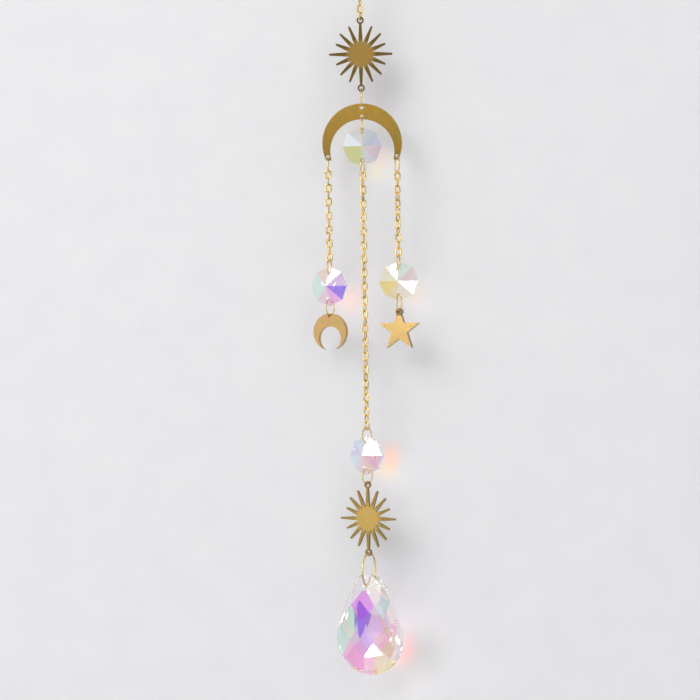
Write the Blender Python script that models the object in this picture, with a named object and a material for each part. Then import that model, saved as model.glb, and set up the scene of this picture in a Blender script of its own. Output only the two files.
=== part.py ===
"""A crystal suncatcher of brass charms, cable chain, jump rings and cut crystals, hung from one ring.

Units are metres, +Z is up and the charms face -Y. The origin is the inner top of the hanging ring,
where a hook bears. A turn is an angle about Z in degrees: at 0 a flat piece faces the viewer.
"""

import math
from collections import namedtuple

import bmesh
import bpy
from mathutils import Matrix, Vector
from mathutils.geometry import tessellate_polygon

# How the pieces hang
HANG_GAP = 0.00012
COLUMN_X = 0.0

# Hanging ring and jump rings: inner diameters, and the diameters of their wire
HANGING_RING_INNER = 0.0100
HANGING_RING_WIRE = 0.0010
JUMP_WIRE = 0.00055
SUN_TO_ARCH_INNER = 0.0061
ARCH_TO_CRYSTAL_INNER = 0.0061
CRYSTAL_TO_CHAIN_INNER = 0.0054
CHAIN_TO_CRYSTAL_INNER = 0.0052
CRYSTAL_TO_SUN_INNER = 0.0056
SIDE_CHAIN_TO_CRYSTAL_INNER = 0.0050
LEFT_ARCH_TO_CHAIN_INNER = 0.0050
LEFT_CRYSTAL_TO_MOON_INNER = 0.0060
RIGHT_ARCH_TO_CHAIN_INNER = 0.0060
RIGHT_CRYSTAL_TO_STAR_INNER = 0.0064
SUN_TO_DROP_INNER = 0.0121
SUN_TO_DROP_WIRE = 0.00065

# Cable chain
LINK_LENGTH = 0.00360
LINK_WIDTH = 0.0026
LINK_WIRE = 0.00052
LINK_WELD = 0.00004
TOP_LINKS = 11
CENTRE_LINKS = 37
LEFT_LINKS = 13
RIGHT_LINKS = 12

# Sun charm
SUN_THICKNESS = 0.0007
SUN_DISC_RADIUS = 0.00425
SUN_RAYS = 16
SUN_RAY_TIP_HALF = 0.00036
SUN_SIDE_RAY_LENGTH = 0.0119
SUN_LOW_RAY_LENGTH = 0.01005
SUN_DIAGONAL_RAY_LENGTH = 0.0109
SUN_STEEP_RAY_LENGTH = 0.0113
SUN_LOOP_HEIGHT = 0.0127
SUN_LOOP_RADIUS = 0.00135
SUN_LOOP_HOLE = 0.0015
SUN_STEM_HALF = 0.00045

# Arch plate: a crescent between two circles, its tips cut flat
ARCH_THICKNESS = 0.0008
ARCH_OUTER_RADIUS = 0.0149
ARCH_CROWN_DEPTH = 0.00578
ARCH_TIP_DROP = 0.00626
ARCH_TIP_WIDTH = 0.0020
ARCH_TIP_CORNER = 0.0004
ARCH_CROWN_HOLE = 0.0015
ARCH_UPPER_HOLE_INSET = 0.0014
ARCH_LOWER_HOLE_INSET = 0.00105
ARCH_LOWER_HOLE = 0.0013
ARCH_SIDE_HOLE_DROP = 0.0049
ARCH_SIDE_HOLE = 0.0013

# Moon charm: a crescent with its horns down
MOON_THICKNESS = 0.0015
MOON_OUTER_RADIUS = 0.0069
MOON_INNER_RADIUS = 0.00462
MOON_INNER_DROP = 0.0025
MOON_HOLE = 0.0013
MOON_HOLE_INSET = 0.0010

# Star charm, with an eye on its top point
STAR_THICKNESS = 0.0020
STAR_RADIUS = 0.0083
STAR_INNER_RADIUS = 0.0033
STAR_POINTS = 5
STAR_EDGE_BEVEL = 0.00022
STAR_EYE_HEIGHT = 0.0069
STAR_EYE_RADIUS = 0.0013
STAR_EYE_HOLE = 0.0011

# Octagon crystals, cut to a point on both faces, with a hole near two opposite corners
STONE_ACROSS_FLATS = 0.0136
STONE_GIRDLE = 0.0014
STONE_CROWN = 0.0026
STONE_HOLE = 0.0016
STONE_HOLE_INSET = 0.00276
STONE_SIDES = 8

# Drop crystal: a pear outline round a small circle above a large one. Each face is a dome cut into a
# lattice of kites, with a rim of facets down to the girdle. Shares are of the drop's length from its top.
DROP_LENGTH = 0.0380
DROP_WIDTH = 0.0280
DROP_THICKNESS = 0.0130
DROP_GIRDLE = 0.0012
DROP_TOP_RADIUS = 0.0068
DROP_DOME_SHARE = 0.55
DROP_FIRST_KITE_SHARE = 0.30
DROP_KITE_HALF_HEIGHT = 0.17 * DROP_LENGTH
DROP_KITE_HALF_WIDTH = 0.18 * DROP_WIDTH
DROP_KITE_ROWS = range(-1, 4)
DROP_KITE_COLUMNS = range(-2, 3)
DROP_RIM_FACETS = 16
DROP_RIM_SLOPE = 1.5
DROP_GIRDLE_FACETS = 32
DROP_HOLE = 0.0024
DROP_HOLE_INSET = 0.0048

# Turns of the pieces about Z, in degrees
UPPER_CRYSTAL_TURN = 0.0
LOWER_CRYSTAL_TURN = -37.0
LOWER_SUN_TURN = -31.0
DROP_TURN = -30.0
LEFT_CRYSTAL_TURN = -25.0
MOON_TURN = -27.0
RIGHT_CRYSTAL_TURN = -12.0
STAR_TURN = -20.0
TOP_CHAIN_SWING = -25.0
UPPER_RING_SWING = -15.0
LEFT_RING_SWING = 9.0
RIGHT_ARCH_RING_SWING = 13.0
DROP_RING_SWING = 7.0

# How finely round things are faceted
WIRE_SIDES = 4
RING_SEGMENTS = 12
HANGING_RING_SEGMENTS = 16
LINK_SIDES = 4
LINK_END_SEGMENTS = 4
HOLE_SIDES = 8
ARC_FACET_DEPTH = 0.00004
CUT_TOLERANCE = 1e-7
SMOOTH_BELOW = math.radians(50)

# Finishes: a colour as linear RGB, how rough it is, how metallic, and how much light goes through
Finish = namedtuple("Finish", "colour roughness metallic transmission")
RAW_BRASS = Finish((0.33, 0.22, 0.075), 0.40, 1.0, 0.0)
PALE_BRASS = Finish((0.52, 0.36, 0.13), 0.35, 1.0, 0.0)
POLISHED_BRASS = Finish((0.72, 0.50, 0.20), 0.22, 1.0, 0.0)
GOLD_TONE_WIRE = Finish((0.72, 0.50, 0.20), 0.25, 1.0, 0.0)
CRYSTAL = Finish((0.93, 0.90, 0.97), 0.02, 0.0, 1.0)

QUARTER = 90.0
# An eye is what hangs or is hung on: the inner radius of its hole and half the bar beside the hole.
Eye = namedtuple("Eye", "radius half_bar")

LINK_EYE = Eye(LINK_WIDTH / 2 - LINK_WIRE, LINK_WIRE / 2)
SUN_EYE = Eye(SUN_LOOP_HOLE / 2, SUN_THICKNESS / 2)
ARCH_CROWN_EYE = Eye(ARCH_CROWN_HOLE / 2, ARCH_THICKNESS / 2)
ARCH_LOWER_EYE = Eye(ARCH_LOWER_HOLE / 2, ARCH_THICKNESS / 2)
ARCH_SIDE_EYE = Eye(ARCH_SIDE_HOLE / 2, ARCH_THICKNESS / 2)
MOON_EYE = Eye(MOON_HOLE / 2, MOON_THICKNESS / 2)
STAR_EYE = Eye(STAR_EYE_HOLE / 2, STAR_THICKNESS / 2)


def ring_eye(inner, wire=JUMP_WIRE):
    return Eye(inner / 2, wire / 2)


def bulge(radius, half):
    """How far a circle has curved away from its tangent at a distance of half along it."""
    return radius - math.sqrt(max(radius**2 - half**2, 0.0))


def seat(upper, lower, swing=0.0):
    """Height of the lower eye's inner top above the upper eye's inner bottom, where one hangs in the other."""
    skew = math.tan(math.radians(abs(swing)))
    rise = bulge(upper.radius, lower.half_bar + upper.half_bar * skew)
    return HANG_GAP + rise + bulge(lower.radius, upper.half_bar + lower.half_bar * skew)


# Shapes


def circle_points(centre_x, centre_z, radius, sides):
    """A polygon round a circle, with a flat at its top and its bottom."""
    step = 2 * math.pi / sides
    reach = radius / math.cos(step / 2)
    angles = [(index + 0.5) * step for index in range(sides)]
    return [(centre_x + reach * math.cos(a), centre_z + reach * math.sin(a)) for a in angles]


def arc_points(centre_x, centre_z, radius, start, end):
    """Points on an arc from one angle to another, both ends included, as near the true arc as facets go."""
    step = 2 * math.acos(1 - ARC_FACET_DEPTH / radius)
    count = max(2, math.ceil(abs(end - start) / step))
    angles = [start + (end - start) * index / count for index in range(count + 1)]
    return [(centre_x + radius * math.cos(a), centre_z + radius * math.sin(a)) for a in angles]


def new_object(name, mesh):
    obj = bpy.data.objects.new(name, mesh)
    bpy.context.scene.collection.objects.link(obj)
    return obj


def close_up(bm, name):
    """Turns a finished bmesh into a mesh with its faces pointing out."""
    bmesh.ops.recalc_face_normals(bm, faces=bm.faces)
    mesh = bpy.data.meshes.new(name)
    bm.to_mesh(mesh)
    bm.free()
    return mesh


def plate_mesh(name, outline, holes, thickness):
    """A flat plate in the XZ plane, with holes through it."""
    loops = [outline, *holes]
    flat = [point for loop in loops for point in loop]
    bm = bmesh.new()
    front = [bm.verts.new((x, -thickness / 2, z)) for x, z in flat]
    back = [bm.verts.new((x, thickness / 2, z)) for x, z in flat]
    for triangle in tessellate_polygon([[Vector((x, z, 0)) for x, z in loop] for loop in loops]):
        bm.faces.new([front[index] for index in triangle])
        bm.faces.new([back[index] for index in reversed(triangle)])
    start = 0
    for loop in loops:
        size = len(loop)
        for index in range(size):
            this = start + index
            following = start + (index + 1) % size
            bm.faces.new((front[this], front[following], back[following], back[this]))
        start += size
    return close_up(bm, name)


def add_wire_loop(bm, path, wire, sides, matrix):
    """A closed wire whose middle runs round a polygon in the XZ plane, with its flats facing in and out."""
    step = 2 * math.pi / sides
    reach = wire / 2 / math.cos(step / 2)
    count = len(path)
    sections = []
    for index in range(count):
        here = Vector(path[index])
        into = (here - Vector(path[index - 1])).normalized()
        away = (Vector(path[(index + 1) % count]) - here).normalized()
        outward = Vector((into.y + away.y, -into.x - away.x)).normalized()
        mitre = outward / outward.dot(Vector((into.y, -into.x)))
        section = []
        for side in range(sides):
            angle = (side + 0.5) * step
            point = here + mitre * reach * math.cos(angle)
            section.append(bm.verts.new(matrix @ Vector((point.x, reach * math.sin(angle), point.y))))
        sections.append(section)
    for index in range(count):
        section = sections[index]
        following = sections[(index + 1) % count]
        for side in range(sides):
            other = (side + 1) % sides
            bm.faces.new((section[side], section[other], following[other], following[side]))


def link_path():
    """The middle of a link's wire: two straight sides with a half round at each end."""
    middle = (LINK_WIDTH - LINK_WIRE) / 2
    shift = (LINK_LENGTH - LINK_WIDTH) / 2
    points = circle_points(0.0, 0.0, middle, 2 * LINK_END_SEGMENTS)
    return [(x, z + math.copysign(shift, z)) for x, z in points]


# Finishes


def finish(obj, look):
    """Gives the object a material of its own, and smooth shading on metal where its faces meet gently."""
    material = bpy.data.materials.new(obj.name)
    material.use_nodes = True
    shader = material.node_tree.nodes["Principled BSDF"]
    shader.inputs["Base Color"].default_value = (*look.colour, 1.0)
    shader.inputs["Roughness"].default_value = look.roughness
    shader.inputs["Metallic"].default_value = look.metallic
    shader.inputs["Transmission Weight"].default_value = look.transmission
    if look.metallic:
        obj.data.shade_smooth()
        obj.data.set_sharp_from_angle(angle=SMOOTH_BELOW)
    obj.data.materials.append(material)


def place(obj, hanger, x, z, turn):
    obj.parent = hanger
    obj.location = (x, 0.0, z)
    obj.rotation_euler = (0.0, 0.0, math.radians(turn))
    return obj


# Rings and chains


def make_ring(name, hanger, inner, wire, x, top, turn, segments=RING_SEGMENTS):
    """A round ring whose inner top is at a height. Returns the height of its inner bottom."""
    bm = bmesh.new()
    path = circle_points(0.0, 0.0, (inner + wire) / 2, segments)
    add_wire_loop(bm, path, wire, WIRE_SIDES, Matrix())
    ring = new_object(name, close_up(bm, name))
    finish(ring, GOLD_TONE_WIRE)
    place(ring, hanger, x, top - inner / 2, turn)
    return top - inner


def link_turns(count, turn_above, turn_below):
    """A quarter turn from link to link, plus an even share of the twist that ends square to what is below."""
    first = turn_above - QUARTER
    whole = QUARTER * (count - 1)
    twist = (turn_below - QUARTER - first - whole + QUARTER) % (2 * QUARTER) - QUARTER
    return [first + (whole + twist) * index / (count - 1) for index in range(count)]


def make_chain(name, hanger, count, x, top, turn_above, turn_below):
    """Links fused where each bears on the next. Returns the height of the last one's inner bottom."""
    pitch = LINK_LENGTH - 2 * LINK_WIRE + LINK_WELD
    middle = top + LINK_WIRE - LINK_LENGTH / 2
    shapes = [bmesh.new(), bmesh.new()]
    for index, turn in enumerate(link_turns(count, turn_above, turn_below)):
        where = Matrix.Translation((0.0, 0.0, -pitch * index))
        matrix = where @ Matrix.Rotation(math.radians(turn), 4, "Z")
        add_wire_loop(shapes[index % 2], link_path(), LINK_WIRE, LINK_SIDES, matrix)
    chain = new_object(name, close_up(shapes[0], name))
    others = new_object(name + "_other_links", close_up(shapes[1], name + "_other_links"))
    finish(chain, GOLD_TONE_WIRE)
    for obj in (chain, others):
        place(obj, hanger, x, middle, 0.0)
    others.hide_render = True
    others.display_type = "WIRE"
    fuse = chain.modifiers.new("fuse_links", "BOOLEAN")
    fuse.operation = "UNION"
    fuse.solver = "EXACT"
    fuse.object = others
    return middle - pitch * (count - 1) - LINK_LENGTH / 2 + LINK_WIRE


# Charms


def sun_ray_length(index):
    """Length of a ray, counted round from the one that points sideways."""
    lengths = (SUN_SIDE_RAY_LENGTH, SUN_LOW_RAY_LENGTH, SUN_DIAGONAL_RAY_LENGTH, SUN_STEEP_RAY_LENGTH)
    quarter = SUN_RAYS // 4
    share = index % (2 * quarter)
    steps_from_side = min(share, 2 * quarter - share)
    return lengths[min(steps_from_side, len(lengths) - 1)]


def turned(points, angle):
    cosine, sine = math.cos(angle), math.sin(angle)
    return [(x * cosine - z * sine, x * sine + z * cosine) for x, z in points]


def ray_tip(length):
    """The rounded end of a ray that points along +X."""
    half = SUN_RAY_TIP_HALF
    return [(length - half, -half), (length, 0.0), (length - half, half)]


def loop_tip():
    """The end of a vertical ray, drawn along +X: a stem that runs into a round loop."""
    spread = math.asin(SUN_STEM_HALF / SUN_LOOP_RADIUS)
    return arc_points(SUN_LOOP_HEIGHT, 0.0, SUN_LOOP_RADIUS, spread - math.pi, math.pi - spread)


def sun_mesh(name):
    step = 2 * math.pi / SUN_RAYS
    outline = []
    for index in range(SUN_RAYS):
        upright = index % (SUN_RAYS // 2) == SUN_RAYS // 4
        tip = loop_tip() if upright else ray_tip(sun_ray_length(index))
        outline += turned(tip, index * step)
        outline += turned([(SUN_DISC_RADIUS, 0.0)], (index + 0.5) * step)
    heights = (SUN_LOOP_HEIGHT, -SUN_LOOP_HEIGHT)
    holes = [circle_points(0.0, height, SUN_LOOP_HOLE / 2, HOLE_SIDES) for height in heights]
    return plate_mesh(name, outline, holes, SUN_THICKNESS)


def make_sun(name, hanger, x, hole_top, turn):
    """Returns the height of the lower loop's inner bottom."""
    sun = new_object(name, sun_mesh(name))
    finish(sun, RAW_BRASS)
    middle = hole_top - SUN_LOOP_HOLE / 2 - SUN_LOOP_HEIGHT
    place(sun, hanger, x, middle, turn)
    return middle - SUN_LOOP_HEIGHT - SUN_LOOP_HOLE / 2


def arch_inner_radius():
    """The circle that leaves the crown's depth on the middle line and the tips' width at the tips."""
    tip_x = ARCH_TIP_OUTER_X - ARCH_TIP_WIDTH
    height = ARCH_OUTER_RADIUS - ARCH_CROWN_DEPTH + ARCH_TIP_DROP
    return (tip_x**2 + height**2) / (2 * height)


def arch_side_hole_x():
    """The middle of the plate at the height of its side holes."""
    inner_drop = ARCH_SIDE_HOLE_DROP - ARCH_INNER_DROP
    outer_x = math.sqrt(ARCH_OUTER_RADIUS**2 - ARCH_SIDE_HOLE_DROP**2)
    inner_x = math.sqrt(ARCH_INNER_RADIUS**2 - inner_drop**2)
    return (outer_x + inner_x) / 2


ARCH_TIP_OUTER_X = math.sqrt(ARCH_OUTER_RADIUS**2 - ARCH_TIP_DROP**2)
ARCH_INNER_RADIUS = arch_inner_radius()
ARCH_INNER_DROP = ARCH_INNER_RADIUS - (ARCH_OUTER_RADIUS - ARCH_CROWN_DEPTH)
ARCH_UPPER_HOLE_Z = ARCH_OUTER_RADIUS - ARCH_UPPER_HOLE_INSET
ARCH_LOWER_HOLE_Z = ARCH_OUTER_RADIUS - ARCH_CROWN_DEPTH + ARCH_LOWER_HOLE_INSET
ARCH_SIDE_HOLE_X = arch_side_hole_x()


def arch_mesh(name):
    """Both arcs stop a corner's size short of the flat that cuts the tips."""
    stop = ARCH_TIP_DROP - ARCH_TIP_CORNER
    outer = math.asin(stop / ARCH_OUTER_RADIUS)
    inner = math.asin((stop - ARCH_INNER_DROP) / ARCH_INNER_RADIUS)
    tip_outer_x = ARCH_TIP_OUTER_X - ARCH_TIP_CORNER
    tip_inner_x = ARCH_TIP_OUTER_X - ARCH_TIP_WIDTH + ARCH_TIP_CORNER
    outline = arc_points(0.0, 0.0, ARCH_OUTER_RADIUS, -outer, math.pi + outer)
    outline += [(-tip_outer_x, -ARCH_TIP_DROP), (-tip_inner_x, -ARCH_TIP_DROP)]
    outline += arc_points(0.0, -ARCH_INNER_DROP, ARCH_INNER_RADIUS, math.pi + inner, -inner)
    outline += [(tip_inner_x, -ARCH_TIP_DROP), (tip_outer_x, -ARCH_TIP_DROP)]
    holes = [
        circle_points(0.0, ARCH_UPPER_HOLE_Z, ARCH_CROWN_HOLE / 2, HOLE_SIDES),
        circle_points(0.0, ARCH_LOWER_HOLE_Z, ARCH_LOWER_HOLE / 2, HOLE_SIDES),
        circle_points(-ARCH_SIDE_HOLE_X, -ARCH_SIDE_HOLE_DROP, ARCH_SIDE_HOLE / 2, HOLE_SIDES),
        circle_points(ARCH_SIDE_HOLE_X, -ARCH_SIDE_HOLE_DROP, ARCH_SIDE_HOLE / 2, HOLE_SIDES),
    ]
    return plate_mesh(name, outline, holes, ARCH_THICKNESS)


def make_arch(name, hanger, x, hole_top):
    """Returns the height of the middle of its outer circle."""
    arch = new_object(name, arch_mesh(name))
    finish(arch, RAW_BRASS)
    middle = hole_top - ARCH_CROWN_HOLE / 2 - ARCH_UPPER_HOLE_Z
    place(arch, hanger, x, middle, 0.0)
    return middle


def make_moon(name, hanger, x, hole_top, turn):
    """The horns end where the inner circle runs out of the outer one."""
    outer, inner, drop = MOON_OUTER_RADIUS, MOON_INNER_RADIUS, MOON_INNER_DROP
    horn_z = (inner**2 - outer**2 - drop**2) / (2 * drop)
    outer_end = math.asin(-horn_z / outer)
    inner_end = math.asin((-horn_z - drop) / inner)
    outline = arc_points(0.0, 0.0, outer, -outer_end, math.pi + outer_end)
    outline += arc_points(0.0, -drop, inner, math.pi + inner_end, -inner_end)[1:-1]
    hole_z = outer - MOON_HOLE_INSET
    hole = circle_points(0.0, hole_z, MOON_HOLE / 2, HOLE_SIDES)
    moon = new_object(name, plate_mesh(name, outline, [hole], MOON_THICKNESS))
    finish(moon, PALE_BRASS)
    place(moon, hanger, x, hole_top - MOON_HOLE / 2 - hole_z, turn)


def star_outline():
    """A five-pointed star whose top point runs into a round eye."""
    step = math.pi / STAR_POINTS
    corner = Vector((STAR_INNER_RADIUS * math.sin(step), STAR_INNER_RADIUS * math.cos(step)))
    tip = Vector((0.0, STAR_RADIUS))
    side = (corner - tip).normalized()
    eye = Vector((0.0, STAR_EYE_HEIGHT))
    along = (eye - tip).dot(side)
    off = (tip + side * along - eye).length
    meet = tip + side * (along + math.sqrt(STAR_EYE_RADIUS**2 - off**2))
    start = math.atan2(meet.y - eye.y, meet.x)
    outline = arc_points(0.0, STAR_EYE_HEIGHT, STAR_EYE_RADIUS, start, math.pi - start)
    for index in range(1, 2 * STAR_POINTS):
        radius = STAR_INNER_RADIUS if index % 2 else STAR_RADIUS
        angle = math.pi / 2 + index * step
        outline.append((radius * math.cos(angle), radius * math.sin(angle)))
    return outline


def make_star(name, hanger, x, hole_top, turn):
    hole = circle_points(0.0, STAR_EYE_HEIGHT, STAR_EYE_HOLE / 2, HOLE_SIDES)
    star = new_object(name, plate_mesh(name, star_outline(), [hole], STAR_THICKNESS))
    finish(star, POLISHED_BRASS)
    bevel = star.modifiers.new("edge_bevel", "BEVEL")
    bevel.width = STAR_EDGE_BEVEL
    bevel.segments = 1
    bevel.limit_method = "ANGLE"
    bevel.angle_limit = SMOOTH_BELOW
    place(star, hanger, x, hole_top - STAR_EYE_HOLE / 2 - STAR_EYE_HEIGHT, turn)


# Crystals


def drill(stone, hanger, holes, depth):
    """Cuts round holes through a crystal, from front to back. Each is given by its height and diameter."""
    bm = bmesh.new()
    for height, diameter in holes:
        ends = []
        for y in (-depth, depth):
            points = circle_points(0.0, height, diameter / 2, HOLE_SIDES)
            ends.append([bm.verts.new((x, y, z)) for x, z in points])
        for index in range(HOLE_SIDES):
            other = (index + 1) % HOLE_SIDES
            bm.faces.new((ends[0][index], ends[0][other], ends[1][other], ends[1][index]))
        for end in ends:
            bm.faces.new(end)
    name = stone.name + "_drill"
    cutter = new_object(name, close_up(bm, name))
    cutter.hide_render = True
    cutter.display_type = "WIRE"
    cutter.parent = hanger
    cutter.location = stone.location
    cutter.rotation_euler = stone.rotation_euler
    cut = stone.modifiers.new("holes", "BOOLEAN")
    cut.operation = "DIFFERENCE"
    cut.solver = "EXACT"
    cut.object = cutter


def octagon_mesh(name):
    """Eight facets on each face rise from the girdle to a point in the middle. A corner is at the top."""
    bm = bmesh.new()
    angles = [2 * math.pi * index / STONE_SIDES for index in range(STONE_SIDES)]
    rim = [(STONE_CORNER * math.cos(angle), STONE_CORNER * math.sin(angle)) for angle in angles]
    front = [bm.verts.new((x, -STONE_GIRDLE / 2, z)) for x, z in rim]
    back = [bm.verts.new((x, STONE_GIRDLE / 2, z)) for x, z in rim]
    front_point = bm.verts.new((0.0, -STONE_GIRDLE / 2 - STONE_CROWN, 0.0))
    back_point = bm.verts.new((0.0, STONE_GIRDLE / 2 + STONE_CROWN, 0.0))
    for index in range(STONE_SIDES):
        other = (index + 1) % STONE_SIDES
        bm.faces.new((front[index], front[other], front_point))
        bm.faces.new((back[other], back[index], back_point))
        bm.faces.new((front[other], front[index], back[index], back[other]))
    return close_up(bm, name)


def stone_eye():
    """The glass between a hole and the corner beyond it is thickest at the hole's edge."""
    share = (STONE_HOLE_INSET - STONE_HOLE / 2) / STONE_CORNER
    return Eye(STONE_HOLE / 2, STONE_GIRDLE / 2 + STONE_CROWN * share)


STONE_CORNER = STONE_ACROSS_FLATS / 2 / math.cos(math.pi / STONE_SIDES)
STONE_EYE = stone_eye()


def make_octagon(name, hanger, x, hole_top, turn):
    """Returns the height of the lower hole's bottom."""
    stone = new_object(name, octagon_mesh(name))
    finish(stone, CRYSTAL)
    hole_z = STONE_CORNER - STONE_HOLE_INSET
    middle = hole_top - STONE_HOLE / 2 - hole_z
    place(stone, hanger, x, middle, turn)
    holes = [(hole_z, STONE_HOLE), (-hole_z, STONE_HOLE)]
    drill(stone, hanger, holes, STONE_GIRDLE + STONE_CROWN)
    return middle - hole_z - STONE_HOLE / 2


# Heights above the middle of the drop's large circle
DROP_TOP = DROP_LENGTH - DROP_WIDTH / 2
DROP_HOLE_Z = DROP_TOP - DROP_HOLE_INSET


def drop_support(angle):
    """Distance from the middle of the drop's large circle to the outline's tangent that faces this angle."""
    return max(DROP_WIDTH / 2, DROP_TOP_RADIUS + (DROP_TOP - DROP_TOP_RADIUS) * math.sin(angle))


def drop_kite_planes():
    """Planes that touch the front's dome at the middles of the kites.

    Kites meet four at a point because the dome bends across and up by the kites' own proportion.
    """
    middle = DROP_TOP - DROP_DOME_SHARE * DROP_LENGTH
    bend_up = (DROP_THICKNESS - DROP_GIRDLE) / 2 / (DROP_TOP - middle) ** 2
    bend_across = bend_up * (DROP_KITE_HALF_HEIGHT / DROP_KITE_HALF_WIDTH) ** 2
    planes = []
    for row in DROP_KITE_ROWS:
        for column in DROP_KITE_COLUMNS:
            if (row + column) % 2:
                continue
            x = column * DROP_KITE_HALF_WIDTH
            z = DROP_TOP - DROP_FIRST_KITE_SHARE * DROP_LENGTH - row * DROP_KITE_HALF_HEIGHT
            depth = DROP_THICKNESS / 2 - bend_across * x**2 - bend_up * (z - middle) ** 2
            normal = Vector((2 * bend_across * x, -1.0, 2 * bend_up * (z - middle)))
            planes.append((Vector((x, -depth, z)), normal.normalized()))
    return planes


def drop_rim_planes():
    """Steeper planes that rise from the girdle's front edge."""
    planes = []
    for index in range(DROP_RIM_FACETS):
        angle = math.pi / 2 + 2 * math.pi * index / DROP_RIM_FACETS
        outward = Vector((math.cos(angle), 0.0, math.sin(angle)))
        edge = outward * drop_support(angle) + Vector((0.0, -DROP_GIRDLE / 2, 0.0))
        planes.append((edge, (outward * DROP_RIM_SLOPE + Vector((0.0, -1.0, 0.0))).normalized()))
    return planes


def drop_depth(x, z):
    """Half the drop's thickness at a place inside its outline."""
    depths = []
    for point, normal in drop_kite_planes() + drop_rim_planes():
        along = (point.x - x) * normal.x + (point.z - z) * normal.z
        depths.append(-point.y - along / normal.y)
    return min(depths)


def cut_by_plane(bm, point, normal):
    """Keeps what lies behind the plane and closes the cut with one flat face."""
    everything = bm.verts[:] + bm.edges[:] + bm.faces[:]
    cut = bmesh.ops.bisect_plane(
        bm, geom=everything, dist=CUT_TOLERANCE, plane_co=point, plane_no=normal, clear_outer=True
    )
    edges = [item for item in cut["geom_cut"] if isinstance(item, bmesh.types.BMEdge)]
    if edges:
        bmesh.ops.edgeloop_fill(bm, edges=edges)


def drop_mesh(name):
    """A block cut to the pear's outline, then faceted on its front and its back."""
    bm = bmesh.new()
    bmesh.ops.create_cube(bm, size=1.0)
    bmesh.ops.scale(bm, vec=(2 * DROP_LENGTH, DROP_THICKNESS, 2 * DROP_LENGTH), verts=bm.verts)
    for index in range(DROP_GIRDLE_FACETS):
        angle = (index + 0.5) * 2 * math.pi / DROP_GIRDLE_FACETS
        normal = Vector((math.cos(angle), 0.0, math.sin(angle)))
        cut_by_plane(bm, normal * drop_support(angle), normal)
    flip = Vector((1.0, -1.0, 1.0))
    for point, normal in drop_kite_planes() + drop_rim_planes():
        cut_by_plane(bm, point, normal)
        cut_by_plane(bm, point * flip, normal * flip)
    return close_up(bm, name)


def drop_eye():
    return Eye(DROP_HOLE / 2, drop_depth(0.0, DROP_HOLE_Z + DROP_HOLE / 2))


def make_drop(name, hanger, x, hole_top, turn):
    drop = new_object(name, drop_mesh(name))
    finish(drop, CRYSTAL)
    place(drop, hanger, x, hole_top - DROP_HOLE / 2 - DROP_HOLE_Z, turn)
    drill(drop, hanger, [(DROP_HOLE_Z, DROP_HOLE)], DROP_THICKNESS)


# Assembly, from the hanging ring down


def hang_ring_on(name, hanger, inner, x, support, upper, turn, swing=0.0, wire=JUMP_WIRE):
    """Hangs a ring in an eye whose inner bottom is at a height. Returns the ring's inner bottom."""
    top = support + seat(upper, ring_eye(inner, wire), swing)
    return make_ring(name, hanger, inner, wire, x, top, turn)


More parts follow.
